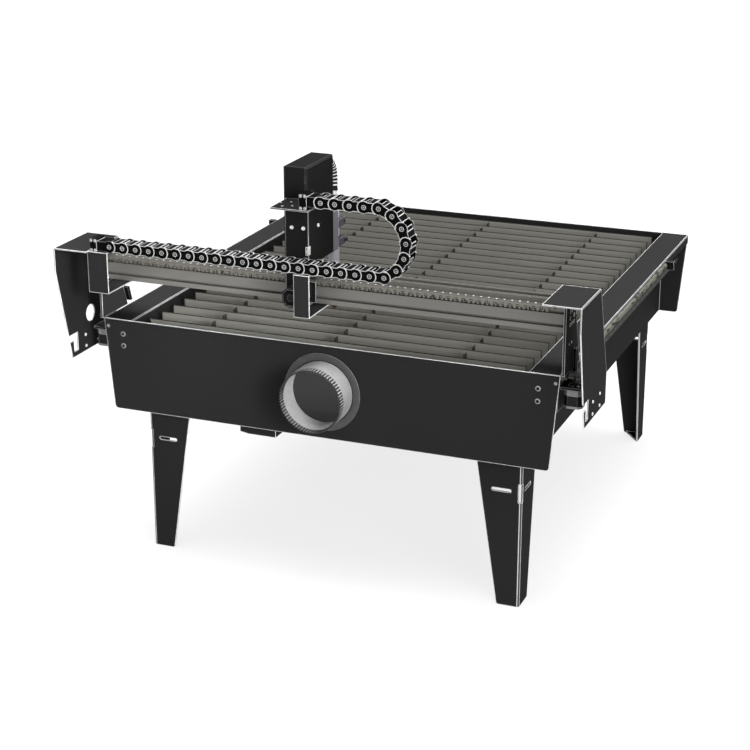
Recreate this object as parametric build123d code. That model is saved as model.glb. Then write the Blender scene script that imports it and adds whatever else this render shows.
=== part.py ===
from build123d import *
import os
from math import acos, asin, atan2, ceil, cos, degrees, floor, pi, radians, sin, tan

# CNC plasma cutting table: a downdraft tub with cutting slats on four legs, a gantry that runs
# along Y on two guided, rack-driven sides, a carriage that runs along X on the gantry beam, and
# a torch that a screw lifts along Z.
#
# Working frame, millimetres: X from the table's middle, Y from the front panel's outer face
# towards the back, Z from the table-top. Each piece moves to the floor frame when it is saved.

# Tub
table_width = 1524.0
table_depth = 1700.0
table_height = 800.0
sheet = 3.0
panel_height = 306.0
panel_taper = 26.0
panel_corner = 12.0
flange_width = 99.0
lip_height = 31.0
bend = 4.0
floor_drop = 305.0
accessory_hole_radius = 4.0
accessory_hole_inset = 14.0
accessory_hole_drop = 25.0

# Duct collar, an eight inch spigot with a one inch flange
collar_radius = 101.6
collar_sheet = 1.2
collar_flange = 25.4
collar_smooth = 70.0
collar_crimp = 30.0
crimp_count = 24
crimp_depth = 3.0

# Clean-out tray under the floor
tray_x = (-296.0, -171.0)
tray_y = (20.0, 200.0)
tray_depth = 33.0
tray_slope = 30.0
tray_left_drop = 28.0
tray_sheet = 2.0

# Slats and what carries them
slat_pitch = 79.0
slat_first = 75.0
slat_rear_gap = 40.0
slat_thick = 3.0
slat_height = 100.0
slat_drop = 10.0
slat_end_gap = 28.0
slat_clearance = 0.5
comb_spacing = 427.0
comb_foot = 45.0
comb_tip_drop = 0.5
comb_finger_tip = 14.0
comb_finger_root = 30.0
comb_dip = 36.0
ledge_width = 50.0
ledge_height = 40.0

# Legs
leg_sheet = 6.0
leg_inset_x = 122.0
leg_inset_y = 50.0
leg_top = 150.0
leg_bottom = 74.0
leg_side_top = 140.0
leg_side_bottom = 85.0
leg_corner = 8.0
leg_slot = (63.0, 10.0)
leg_slot_drop = 411.0
leg_slot_inset = 66.0
leg_bend = 8.0
leg_corner_cut = 11.0
leg_corner_slot = (-447.0, -386.0)

# Slotted aluminium profile, on a forty millimetre module
profile_module = 40.0
profile_slot = 8.2
profile_lip = 4.5
profile_pocket = 18.0
profile_pocket_depth = 7.0

# Guide beams, rails and racks along the table's sides
guide_beam_gap = 9.0
guide_beam_drop = 27.5
side_rail_width = 20.0
side_rail_height = 17.5
side_block_height = 30.0
side_block_width = 44.0
side_block_length = 92.0
running_gap = 0.3
module = 4.5
rack_teeth_back = 10.0
rack_addendum = 0.46
rack_dedendum = 1.2
rack_width = 12.0
rack_drop = 8.0
rack_start = 10.0
rack_end = 1325.0
stop_size = (31.0, 20.0, 30.0)
pinion_teeth = 8
pinion_dedendum = 0.9
pressure_angle = 20.0
backlash = 0.5
shaft_radius = 4.0
shaft_clearance = 0.05

# Motors, 57 mm square
motor_width = 57.0
motor_chamfer = 12.0
motor_pilot_radius = 19.0
motor_pilot = 1.6
pilot_clearance = 0.3
motor_bore_depth = 12.0
side_motor_length = 60.0
cross_motor_length = 93.0
lift_motor_length = 56.0

# Gantry
drive_y = 65.0
gantry_sheet = 4.0
gantry_reach = 93.0
cap_width = 117.0
cap_front = -132.0
cap_rear = 75.0
cap_top = 256.0
cheek_bottom = -131.0
cheek_front_foot = -58.0
cheek_rear_foot = 178.0
cheek_straight = 76.0
cheek_heel = 96.0
cheek_window_radius = 27.0
cheek_window_z = -12.0
cheek_hole_radius = 4.0
cheek_hole_ys = (26.0, 104.0)
cheek_hole_zs = (-114.0, -76.0)
hook_y = (-47.0, -22.0)
hook_z = (-113.0, -53.0)
hook_finger_top = -76.0
bracket_plate = 8.0
bracket_y = (15.0, 115.0)
bracket_top = -46.0
bracket_foot = -120.0
bracket_reach = 78.0
bracket_shelf_front = 35.0
bracket_post_y = (88.0, 103.0)
bracket_post_gap = 2.0
bracket_post_top = 60.0
bracket_pad_bottom = 8.0
beam_module_count = 2
beam_front = 21.0
beam_top = 207.0
end_plate = 8.0
end_plate_gap = 4.0
end_plate_front = 0.0
end_plate_rear = 145.0
end_plate_bottom = 5.0
end_plate_step = 150.0
cross_rail_width = 15.0
cross_rail_height = 15.0
cross_rail_inset = 31.0
cross_block_height = 28.0
cross_block_width = 34.0
cross_block_length = 80.0
cross_rack_width = 15.0
cross_rack_pitch_z = 192.0
cross_rack_back = 13.0
switch_size = (22.0, 34.0, 50.0)
switch_bottom = 14.0

# Brackets that carry the cable chain in front of the beam
chain_bracket_sheet = 3.0
chain_bracket_front = -124.0
chain_bracket_shelf = 64.0
end_bracket_width = 70.0
middle_bracket_x = (-36.0, 15.0)

# Cable chain
chain_pitch = 45.7
chain_bend_links = 6
chain_upper_links = 4
chain_first_turn = 34.0
chain_bend_reach = 251.0
chain_fixed_reach = 5.0
chain_front = -120.0
chain_width = 57.0
link_radius = 19.0
link_gap = 0.3
link_half = 15.0
link_side = 6.0
link_channel_half = 10.0
disc_steps = 7
socket_steps = 3
chain_end_length = 67.0
chain_clamp = 24.0
chain_clamp_rise = 6.0

# Carriage
carriage_x = (-125.0, -15.0)
carriage_plate = 8.0
carriage_rear = 100.0
front_plate = 5.0
front_plate_rear = -2.0
front_plate_x = (-113.0, -37.0)
front_plate_foot_x = (-113.0, -14.0)
front_plate_foot_z = (137.0, 203.0)
shelf_left = -108.0
shelf_overhang = 36.7
shelf_drop = 26.0
shelf_front = -124.0
cross_motor_x = -57.5
tower_x = (-120.0, -43.0)
tower_rear = 200.0
tower_top = 554.0
tower_sheet = 3.0
tower_slot_width = 2.5
tower_slot_z = (505.0, 529.0)
tower_corner = 6.0
tower_back_bottom = 486.0
lead_entry_z = 520.0

# Torch lift
spine_front = 71.0
spine = 12.0
lift_rail_width = 15.0
lift_rail_height = 15.0
lift_shelf_top = 470.0
lift_shelf = 8.0
screw_radius = 6.0
screw_y = 118.0
slide_width = 62.0
slide_z = (300.0, 380.0)
slide_neck_z = (300.0, 366.0)
slide_neck_front = 140.0
slide_plate_y = (205.0, 262.0)
slide_plate_z = (236.0, 366.0)
slide_edge = 6.0

# Torch
torch_y = 295.0
torch_radius = 17.5
torch_tip = 25.0
torch_tail = 415.0
clamp_half_width = 30.0
clamp_depth = 60.0
clamp_height = 26.0
clamp_bottoms = (240.0, 302.0)
clamp_slit = 3.0
lead_radius = 14.0
lead_bore = 9.5
lead_rib = 2.0
lead_bend = 60.0
lead_rib_count = 8
lead_cuff = 18.0

# Values that follow from the sizes above
half_width = table_width / 2
wall_in = half_width - flange_width
wall_out = wall_in + sheet
guide_beam_x = wall_out + guide_beam_gap
guide_beam_width = profile_module
guide_beam_height = 2 * profile_module
guide_face = guide_beam_x + guide_beam_width
guide_upper_z = -guide_beam_drop - profile_module / 2
guide_lower_z = guide_upper_z - profile_module
bracket_inner = guide_face + side_block_height
cheek_out = half_width + gantry_reach
cheek_in = cheek_out - gantry_sheet
pinion_radius = module * pinion_teeth / 2
side_pinion_x = half_width + rack_teeth_back + pinion_radius
rack_top = -rack_drop
rack_bottom = rack_top - rack_width
end_plate_in = half_width + end_plate_gap
beam_half = end_plate_in
beam_size = beam_module_count * profile_module
beam_rear = beam_front + beam_size
beam_bottom = beam_top - beam_size
beam_slots_y = [beam_front + profile_module * (i + 0.5) for i in range(beam_module_count)]
beam_slots_z = [beam_bottom + profile_module * (i + 0.5) for i in range(beam_module_count)]
cross_rail_half = beam_half - cross_rail_inset
cross_motor_z = cross_rack_pitch_z - pinion_radius
carriage_bottom = beam_top + cross_block_height
carriage_top = carriage_bottom + carriage_plate
slat_count = floor((table_depth - slat_first - slat_rear_gap) / slat_pitch) + 1
slat_ys = [slat_first + slat_pitch * i for i in range(slat_count)]
slat_top = -slat_drop
slat_bottom = slat_top - slat_height
end_bracket_x = (cap_width - cheek_out, cap_width - cheek_out + end_bracket_width)
chain_turn = (pi - radians(chain_first_turn)) / chain_bend_links
chain_bend_angles = [radians(chain_first_turn) + chain_turn * i for i in range(chain_bend_links)]
chain_low_z = cap_top + link_gap + link_radius
chain_high_z = chain_low_z + chain_pitch * sum(sin(a) for a in chain_bend_angles)
chain_fixed_x = end_bracket_x[1] + chain_fixed_reach
chain_lower_links = round((chain_bend_reach - chain_fixed_x) / chain_pitch)
chain_bend_x = chain_fixed_x + chain_pitch * chain_lower_links
chain_bend_lean = chain_pitch * sum(cos(a) for a in chain_bend_angles)
chain_moving_x = chain_bend_x + chain_bend_lean - chain_pitch * chain_upper_links
chain_rear = chain_front + chain_width
shelf_x = (shelf_left, chain_moving_x - shelf_overhang)
shelf_top = chain_high_z - shelf_drop
tower_middle = (tower_x[0] + tower_x[1]) / 2
lead_rise = lead_entry_z - lead_bend
gantry_overhang = -cap_front
front_y = -(table_depth - gantry_overhang) / 2
to_floor = Pos(0, front_y, table_height)


def block(x, y, z):
    """Box between two limits along each axis."""
    size = (x[1] - x[0], y[1] - y[0], z[1] - z[0])
    middle = ((x[0] + x[1]) / 2, (y[0] + y[1]) / 2, (z[0] + z[1]) / 2)
    return Pos(*middle) * Box(*size)


def plate(outline, axis, low, high):
    """Outline in the plane across an axis, thickened from low to high along that axis."""
    plane = {"x": Plane.YZ, "y": Plane.XZ, "z": Plane.XY}[axis]
    way = {"x": (1, 0, 0), "y": (0, 1, 0), "z": (0, 0, 1)}[axis]
    return extrude(Pos(*(low * w for w in way)) * (plane * outline), high - low, dir=way)


def rod(axis, centre, radius, low, high):
    """Round bar along an axis; centre is its place on the other two axes, in X, Y, Z order."""
    return plate(Pos(*centre) * Circle(radius), axis, low, high)


def polygon(*points):
    return Polygon(*points, align=None)


def rectangle(x, y):
    return polygon((x[0], y[0]), (x[1], y[0]), (x[1], y[1]), (x[0], y[1]))


def mirrored(part):
    """The same piece on the table's left side."""
    return mirror(part, about=Plane.YZ)


def profile_slots(width_modules, height_modules):
    """Slots around a profile whose lower left corner is at the origin."""
    width = width_modules * profile_module
    height = height_modules * profile_module
    half_slot = profile_slot / 2
    half_pocket = profile_pocket / 2
    deep = profile_lip + profile_pocket_depth
    slot = polygon(
        (-half_slot, 0),
        (half_slot, 0),
        (half_slot, profile_lip),
        (half_pocket, profile_lip),
        (half_slot, deep),
        (-half_slot, deep),
        (-half_pocket, profile_lip),
        (-half_slot, profile_lip),
    )
    cuts = []
    for i in range(width_modules):
        across = (i + 0.5) * profile_module
        cuts.append(Pos(across, 0) * slot)
        cuts.append(Pos(across, height) * Rot(0, 0, 180) * slot)
    for i in range(height_modules):
        up = (i + 0.5) * profile_module
        cuts.append(Pos(0, up) * Rot(0, 0, -90) * slot)
        cuts.append(Pos(width, up) * Rot(0, 0, 90) * slot)
    return cuts


def profile_section(width_modules, height_modules):
    """Slotted profile's section, lower left corner at the origin."""
    width = width_modules * profile_module
    height = height_modules * profile_module
    section = rectangle((0, width), (0, height))
    for cut in profile_slots(width_modules, height_modules):
        section -= cut
    return section


def tooth_half_angle(radius):
    """Half the angle that a pinion tooth covers at a radius, on an involute flank."""
    base = pinion_radius * cos(radians(pressure_angle))
    thick = (pi * module - backlash) / 2

    def involute(at):
        slope = acos(min(1.0, base / max(at, base)))
        return tan(slope) - slope

    return thick / 2 / pinion_radius + involute(pinion_radius) - involute(radius)


def pinion_outline():
    """Toothed outline with one tooth pointing along the first axis."""
    root = pinion_radius - pinion_dedendum * module
    radii = [root, pinion_radius, pinion_radius + module]
    points = []
    for i in range(pinion_teeth):
        middle = 2 * pi * i / pinion_teeth
        flank = [(r, -tooth_half_angle(r)) for r in radii]
        flank += [(r, tooth_half_angle(r)) for r in reversed(radii)]
        points += [(r * cos(middle + a), r * sin(middle + a)) for r, a in flank]
    return polygon(*points)


def rack_outline(start, end, gap_at, back):
    """Rack along the first axis, teeth towards the second; the pitch line is at zero."""
    pitch = pi * module
    half = (pitch - backlash) / 4
    tip = rack_addendum * module
    root = -rack_dedendum * module
    lean = tan(radians(pressure_angle))
    first = ceil((start + half + pitch / 2 - gap_at) / pitch)
    last = floor((end - half - pitch / 2 - gap_at) / pitch)
    points = [(start, -back), (start, root)]
    for i in range(first, last):
        middle = gap_at + (i + 0.5) * pitch
        points.append((middle - half + root * lean, root))
        points.append((middle - half + tip * lean, tip))
        points.append((middle + half - tip * lean, tip))
        points.append((middle + half - root * lean, root))
    points += [(end, root), (end, -back)]
    return polygon(*points)


def motor(length):
    """Square stepper hanging below its mounting face at the origin, shaft bore along Z."""
    half = motor_width / 2
    cut = motor_chamfer
    corners = [(half, half - cut), (half - cut, half), (cut - half, half), (-half, half - cut)]
    corners += [(-x, -y) for x, y in corners]
    outline = polygon(*corners)
    body = plate(outline, "z", -length, 0)
    body += rod("z", (0, 0), motor_pilot_radius, 0, motor_pilot)
    return body - rod("z", (0, 0), shaft_radius + shaft_clearance, -motor_bore_depth, motor_pilot)


# Tub


def panel_outline():
    """Trapezium of the end panels, with rounded lower corners."""
    foot = half_width - panel_taper
    outline = polygon((-half_width, 0), (half_width, 0), (foot, -panel_height), (-foot, -panel_height))
    low = outline.vertices().sort_by(Axis.Y)[:2]
    outline = fillet(low, panel_corner)
    hole = accessory_hole_radius
    for side in (-1, 1):
        outline -= Pos(side * (half_width - accessory_hole_inset), -accessory_hole_drop) * Circle(hole)
    return outline


collar_z = -panel_height / 2


def front_panel():
    duct = Pos(0, collar_z) * Circle(collar_radius - collar_sheet)
    return plate(panel_outline() - duct, "y", 0, sheet)


def rear_panel():
    return plate(panel_outline(), "y", table_depth - sheet, table_depth)


def side_wall():
    """Right wall, folded out into the top flange and down into a lip."""
    outline = polygon(
        (wall_in, -floor_drop),
        (wall_out, -floor_drop),
        (wall_out, -sheet),
        (half_width - sheet, -sheet),
        (half_width - sheet, -lip_height),
        (half_width, -lip_height),
        (half_width, 0),
        (wall_in, 0),
    )
    top = outline.vertices().filter_by(lambda v: abs(v.Y) < 0.01)
    return plate(fillet(top, bend), "y", sheet, table_depth - sheet)


def floor_pan():
    return block((-wall_in, wall_in), (sheet, table_depth - sheet), (-floor_drop, sheet - floor_drop))


def duct_collar():
    """Flanged spigot with a crimped end that points out of the front panel."""
    inner = collar_radius - collar_sheet
    ring = Circle(collar_radius + collar_flange) - Circle(inner)
    tube = Circle(collar_radius) - Circle(inner)
    place = Pos(0, collar_z)
    body = plate(place * ring, "y", -collar_sheet, 0)
    body += plate(place * tube, "y", -collar_smooth, -collar_sheet)

    def wave(outer):
        points = []
        for i in range(2 * crimp_count):
            radius = outer - crimp_depth * (i % 2)
            angle = pi * i / crimp_count
            points.append((radius * cos(angle), radius * sin(angle)))
        return polygon(*points)

    crimp = wave(collar_radius) - wave(inner)
    return body + plate(place * crimp, "y", -collar_smooth - collar_crimp, -collar_smooth)


def clean_out_tray():
    """Shallow sheet tray under the floor, with one sloped side, open to the floor above."""
    top = -floor_drop
    low = top - tray_depth
    left, right = tray_x
    knee = top - tray_left_drop
    outline = polygon((left, top), (left, knee), (left + tray_slope, low), (right, low), (right, top))
    hollow = polygon(
        (left + tray_sheet, top),
        (left + tray_sheet, knee + tray_sheet),
        (left + tray_slope, low + tray_sheet),
        (right - tray_sheet, low + tray_sheet),
        (right - tray_sheet, top),
    )
    shell = plate(outline, "y", *tray_y)
    return shell - plate(hollow, "y", tray_y[0] + tray_sheet, tray_y[1] - tray_sheet)


# Slats


def slats():
    half = wall_in - slat_end_gap
    pieces = []
    for y in slat_ys:
        pieces.append(block((-half, half), (y, y + slat_thick), (slat_bottom, slat_top)))
    return pieces


def comb(x):
    """Upright support with a slot for each slat and a tapered finger in front of it."""
    low = slat_bottom - comb_foot
    tip = slat_top - comb_tip_drop
    dip = tip - comb_dip
    points = [(sheet, low), (sheet, dip)]
    for y in slat_ys:
        near = y - slat_clearance
        far = y + slat_thick + slat_clearance
        middle = y - (slat_pitch - slat_thick) / 2
        for offset, z in (
            (-comb_finger_root / 2, dip),
            (-comb_finger_tip / 2, tip),
            (comb_finger_tip / 2, tip),
            (comb_finger_root / 2, dip),
        ):
            points.append((middle + offset, z))
        points += [(near, dip), (near, slat_bottom), (far, slat_bottom), (far, dip)]
    points += [(table_depth - sheet, dip), (table_depth - sheet, low)]
    return plate(polygon(*points), "x", x - sheet / 2, x + sheet / 2)


def slat_combs():
    return [comb(x) for x in (-comb_spacing, 0, comb_spacing)]


def slat_ledges():
    """Angles along the walls that carry the slats' ends."""
    high = slat_bottom
    outline = polygon(
        (wall_in, high),
        (wall_in - ledge_width, high),
        (wall_in - ledge_width, high - sheet),
        (wall_in - sheet, high - sheet),
        (wall_in - sheet, high - ledge_height),
        (wall_in, high - ledge_height),
    )
    right = plate(outline, "y", sheet, table_depth - sheet)
    return [mirrored(right), right]


# Legs


def leg():
    """Front right leg: two tapered flanges, a top plate and a three-cornered foot plate."""
    x = half_width - leg_inset_x
    y = leg_inset_y
    top = -floor_drop
    low = -table_height
    face = polygon((x, top), (x - leg_top, top), (x - leg_bottom, low), (x, low))
    face = fillet(face.vertices().sort_by(Axis.Y)[:1], leg_corner)
    face -= Pos(x - leg_slot_inset, -leg_slot_drop) * SlotOverall(*leg_slot)
    side = polygon((y, top), (y + leg_side_top, top), (y + leg_side_bottom, low), (y, low))
    side -= Pos(y + leg_slot_inset - leg_sheet, -leg_slot_drop) * SlotOverall(*leg_slot)
    inner = (x - leg_sheet, y + leg_sheet)
    cap = polygon((x, y), (x - leg_top, y), (x - leg_top, inner[1]), (inner[0], y + leg_side_top), (x, y + leg_side_top))
    foot = polygon(inner, (x - leg_bottom + leg_corner, inner[1]), (inner[0], y + leg_side_bottom))
    body = plate(face, "y", y, y + leg_sheet) + plate(side, "x", x - leg_sheet, x)
    body += plate(cap, "z", top - leg_sheet, top)
    body += plate(foot, "z", low, low + leg_sheet)
    fold = body.edges().filter_by(Axis.Z).sort_by(lambda e: e.center().X - e.center().Y)[-1:]
    body = fillet(fold, leg_bend)
    return body - block((x - leg_corner_cut, x), (y, y + leg_corner_cut), leg_corner_slot)


def rear_of(part):
    """The same piece at the table's back end."""
    return mirror(part, about=Plane.XZ.offset(-table_depth / 2))


# Guides and racks on the table


def guide_beam():
    section = Pos(guide_beam_x, -guide_beam_drop - guide_beam_height) * profile_section(1, 2)
    return plate(section, "y", sheet, table_depth - sheet)


def guide_rail():
    half = side_rail_width / 2
    z = (guide_lower_z - half, guide_lower_z + half)
    return block((guide_face, guide_face + side_rail_height), (sheet, table_depth - sheet), z)


def drive_rack():
    """Toothed bar on the lip, teeth outwards, with a tooth gap in line with the pinion."""
    teeth = rack_outline(-rack_end, -rack_start, -drive_y, rack_teeth_back)
    turned = Pos(half_width + rack_teeth_back, 0) * Rot(0, 0, -90) * teeth
    return plate(turned, "z", rack_bottom, rack_top)


def rack_end_stop():
    x = (half_width, half_width + stop_size[0])
    return block(x, (rack_end, rack_end + stop_size[1]), (-stop_size[2] - sheet, -sheet))


# Gantry


def cheek_outline(window):
    """Side plate that reaches from the cap down past the table-top, with a hook for hanging leads."""
    knee = cap_top - cheek_straight
    heel = cheek_bottom + cheek_heel
    run = (cheek_front_foot - cap_front) / (knee - cheek_bottom)

    def front_at(z):
        return cap_front + run * (knee - z)

    outline = polygon(
        (cap_front, cap_top),
        (cap_front, knee),
        (front_at(hook_z[1]), hook_z[1]),
        (hook_y[1], hook_z[1]),
        (hook_y[1], hook_z[0]),
        (hook_y[0], hook_z[0]),
        (hook_y[0], hook_finger_top),
        (front_at(hook_finger_top), hook_finger_top),
        (cheek_front_foot, cheek_bottom),
        (cheek_rear_foot, cheek_bottom),
        (cheek_rear_foot, heel),
        (cap_rear, cap_top),
    )
    if window:
        outline -= Pos(drive_y, cheek_window_z) * Circle(cheek_window_radius)
    for y in cheek_hole_ys:
        for z in cheek_hole_zs:
            outline -= Pos(y, z) * Circle(cheek_hole_radius)
    return outline


def end_frame(window):
    """Right gantry end: cap and cheek folded from one sheet, with or without the pinion window."""
    cheek = plate(cheek_outline(window), "x", cheek_in, cheek_out)
    cap = block((cheek_out - cap_width, cheek_out), (cap_front, cap_rear), (cap_top - gantry_sheet, cap_top))
    body = cheek + cap
    fold = body.edges().filter_by(Axis.Y).sort_by(lambda e: e.center().X + e.center().Z)[-1:]
    return fillet(fold, bend)


def beam_end_plate():
    """Plate under the cap, cut away behind it above the beam."""
    top = cap_top - gantry_sheet
    outline = polygon(
        (end_plate_front, end_plate_bottom),
        (end_plate_rear, end_plate_bottom),
        (end_plate_rear, end_plate_step),
        (cap_rear, top),
        (end_plate_front, top),
    )
    return plate(outline, "x", end_plate_in, end_plate_in + end_plate)


def gantry_beam():
    section = Pos(beam_front, beam_bottom) * profile_section(beam_module_count, beam_module_count)
    return plate(section, "x", -beam_half, beam_half)


def side_bracket():
    """Right bracket: bearing leg inside, motor shelf on top, and a post that holds the beam's end plate."""
    thick = bracket_plate
    outer = bracket_inner + bracket_reach
    body = block((bracket_inner, bracket_inner + thick), bracket_y, (bracket_foot, bracket_top))
    body += block((bracket_inner, outer), (bracket_shelf_front, bracket_y[1]), (bracket_top - thick, bracket_top))
    face = end_plate_in + end_plate
    post = face + bracket_post_gap
    body += block((post, post + thick), bracket_post_y, (bracket_top, bracket_post_top))
    body += block((face, post), bracket_post_y, (bracket_pad_bottom, bracket_post_top))
    pilot = motor_pilot_radius + pilot_clearance
    return body - rod("z", (side_pinion_x, drive_y), pilot, bracket_top - thick, bracket_top)


def side_bearing_block():
    """Right bearing block astride the guide rail."""
    half = side_block_width / 2
    groove_half = side_rail_width / 2 + running_gap
    floor_x = guide_face + side_rail_height + running_gap
    base = guide_face + 5
    y = (drive_y - side_block_length / 2, drive_y + side_block_length / 2)
    body = block((base, bracket_inner), y, (guide_lower_z - half, guide_lower_z + half))
    return body - block((base, floor_x), y, (guide_lower_z - groove_half, guide_lower_z + groove_half))


def side_motor():
    return Pos(side_pinion_x, drive_y, bracket_top - bracket_plate) * motor(side_motor_length)


def side_pinion(side):
    """Pinion in mesh with the rack, on a shaft that reaches into the motor below."""
    x = side * side_pinion_x
    facing = 180 if side > 0 else 0
    teeth = Pos(x, drive_y) * Rot(0, 0, facing) * pinion_outline()
    body = plate(teeth, "z", rack_bottom, rack_top)
    motor_face = bracket_top - bracket_plate
    return body + rod("z", (x, drive_y), shaft_radius, motor_face - motor_bore_depth / 2, rack_bottom)


def home_switch():
    """Limit switch behind the left end plate."""
    high = -end_plate_in
    x = (high - end_plate, high - end_plate + switch_size[0])
    y = (end_plate_rear, end_plate_rear + switch_size[1])
    return block(x, y, (switch_bottom, switch_bottom + switch_size[2]))


def cross_rails():
    pieces = []
    for y in beam_slots_y:
        across = (y - cross_rail_width / 2, y + cross_rail_width / 2)
        pieces.append(block((-cross_rail_half, cross_rail_half), across, (beam_top, beam_top + cross_rail_height)))
    return pieces


def cross_rack():
    """Toothed bar on the beam's front, teeth down, with a tooth gap over the pinion."""
    teeth = rack_outline(-cross_rail_half, cross_rail_half, -cross_motor_x, cross_rack_back)
    turned = Pos(0, cross_rack_pitch_z) * Rot(0, 0, 180) * teeth
    return plate(turned, "y", beam_front - cross_rack_width, beam_front)


def chain_bracket(x):
    """Sheet hook from under the beam to the shelf that the cable chain lies on."""
    thick = chain_bracket_sheet
    front = chain_bracket_front
    low = beam_bottom - thick
    outline = polygon(
        (beam_rear, low),
        (front, low),
        (front, cap_top),
        (front + chain_bracket_shelf, cap_top),
        (front + chain_bracket_shelf, cap_top - thick),
        (front + thick, cap_top - thick),
        (front + thick, beam_bottom),
        (beam_rear, beam_bottom),
    )
    return plate(outline, "x", *x)


# Cable chain


def chain_pivots():
    """Pivot points in X and Z from the fixed end, round the bend, to the moving end."""
    points = [(chain_fixed_x + chain_pitch * i, chain_low_z) for i in range(chain_lower_links + 1)]
    for angle in chain_bend_angles:
        x, z = points[-1]
        points.append((x + chain_pitch * cos(angle), z + chain_pitch * sin(angle)))
    bend_end = points[-1][0]
    points += [(bend_end - chain_pitch * (i + 1), chain_high_z) for i in range(chain_upper_links)]
    return points


def arc_points(centre, radius, start, end, steps):
    """Points along an arc, angles in radians."""
    angles = [start + (end - start) * i / steps for i in range(steps + 1)]
    return [(centre[0] + radius * cos(a), centre[1] + radius * sin(a)) for a in angles]


def disc_outline(centre):
    """Round end of a link, in X and Z, with flats as wide as the body behind it."""
    lean = asin(link_half / link_radius)
    return arc_points(centre, link_radius, lean, 2 * pi - lean, disc_steps)


def socket_outline(centre):
    """Hollow end of a link that turns on the next link's round end."""
    reach = link_radius + link_gap
    lean = asin(link_half / reach)
    outer = reach / cos(lean / socket_steps)
    lean = asin(link_half / outer)
    return arc_points(centre, outer, pi + lean, pi - lean, socket_steps)


def chain_body(outline):
    """Chain piece as wide as the chain, with the channel that the cables run through."""
    body = plate(outline, "y", chain_front, chain_rear)
    inside = (chain_front + link_side, chain_rear - link_side)
    box = body.bounding_box()
    middle = link_channel_half
    return body - block((box.min.X, box.max.X), inside, (-middle, middle))


def chain_link():
    """One closed link along X from its own pivot: round end, body and hollow end."""
    return chain_body(polygon(*disc_outline((0, 0)), *socket_outline((chain_pitch, 0))))


def chain_links(first, last):
    link = chain_link()
    pivots = chain_pivots()
    pieces = []
    for i in range(first, last):
        (x0, z0), (x1, z1) = pivots[i], pivots[i + 1]
        turn = degrees(atan2(z1 - z0, x1 - x0))
        pieces.append(Pos(x0, 0, z0) * Rot(0, -turn, 0) * link)
    return pieces


def chain_clamp_outline(foot):
    """Upright clamp of a chain end, in X and Z from its pivot, from its top front corner round to its foot."""
    rear = -chain_end_length
    front = rear + chain_clamp
    top = link_half + chain_clamp_rise
    return [(front, link_half), (front, top), (rear, top), (rear, foot), (front, foot), (front, -link_half)]


def chain_fixed_end():
    """Clamp on the end bracket's shelf with a neck whose hollow end takes the first link."""
    x, z = chain_pivots()[0]
    clamp = chain_clamp_outline(cap_top - z)
    return Pos(x, 0, z) * chain_body(polygon(*clamp, *socket_outline((0, 0))))


def chain_moving_end():
    """Clamp on the carriage's shelf with a neck whose round end takes the last link."""
    x, z = chain_pivots()[-1]
    clamp = chain_clamp_outline(shelf_top - z)
    disc = [(-u, -v) for u, v in disc_outline((0, 0))]
    return Pos(x, 0, z) * chain_body(polygon(*clamp, *disc))


# Carriage


def carriage_base():
    return block(carriage_x, (front_plate_rear, carriage_rear), (carriage_bottom, carriage_top))


def cross_bearing_blocks():
    """Two bearing blocks astride the rails on the beam."""
    middle = (carriage_x[0] + carriage_x[1]) / 2
    x = (middle - cross_block_length / 2, middle + cross_block_length / 2)
    pieces = []
    for y in beam_slots_y:
        half = cross_block_width / 2
        groove = cross_rail_width / 2 + running_gap
        base = beam_top + 4
        body = block(x, (y - half, y + half), (base, carriage_bottom))
        top = beam_top + cross_rail_height + running_gap
        pieces.append(body - block(x, (y - groove, y + groove), (base, top)))
    return pieces


def carriage_front_plate():
    """Motor plate in front of the beam, folded forward at the top into the cable chain's shelf."""
    low, step = front_plate_foot_z
    left, right = front_plate_x
    outline = polygon(
        (front_plate_foot_x[0], low),
        (front_plate_foot_x[1], low),
        (front_plate_foot_x[1], step),
        (right, step),
        (right, shelf_top),
        (left, shelf_top),
        (left, step),
        (front_plate_foot_x[0], step),
    )
    outline -= Pos(cross_motor_x, cross_motor_z) * Circle(motor_pilot_radius + pilot_clearance)
    front = front_plate_rear - front_plate
    body = plate(outline, "y", front, front_plate_rear)
    return body + block(shelf_x, (shelf_front, front), (shelf_top - front_plate, shelf_top))


def cross_motor():
    place = Pos(cross_motor_x, front_plate_rear - front_plate, cross_motor_z) * Rot(-90, 0, 0)
    return place * motor(cross_motor_length)


def cross_pinion():
    """Pinion under the beam's rack, on a shaft that reaches into the motor in front."""
    centre = (cross_motor_x, cross_motor_z)
    teeth = Pos(*centre) * Rot(0, 0, 90) * pinion_outline()
    body = plate(teeth, "y", beam_front - cross_rack_width - 1, beam_front - 1)
    motor_face = front_plate_rear - front_plate
    return body + rod("y", centre, shaft_radius, motor_face - motor_bore_depth / 2, beam_front - cross_rack_width - 1)


def tower_cover():
    """Folded cover over the torch lift: front, sides, top and a short back, open below."""
    x0, x1 = tower_x
    body = block(tower_x, (front_plate_rear, tower_rear), (carriage_top, tower_top))
    upright = body.edges().filter_by(Axis.Z).sort_by(Axis.Y)[:2]
    top_side = body.edges().filter_by(Axis.Y).sort_by(Axis.Z)[-2:]
    body = fillet(list(upright) + list(top_side), tower_corner)
    inside_x = (x0 + tower_sheet, x1 - tower_sheet)
    inside_z = (carriage_top, tower_top - tower_sheet)
    body -= block(inside_x, (front_plate_rear + tower_sheet, tower_rear - tower_sheet), inside_z)
    back = (tower_rear - tower_sheet, tower_rear)
    body -= block(inside_x, back, (carriage_top, tower_back_bottom))
    slot_x = (inside_x[1] - tower_slot_width, inside_x[1])
    return body - block(slot_x, (front_plate_rear, front_plate_rear + tower_sheet), tower_slot_z)


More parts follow.
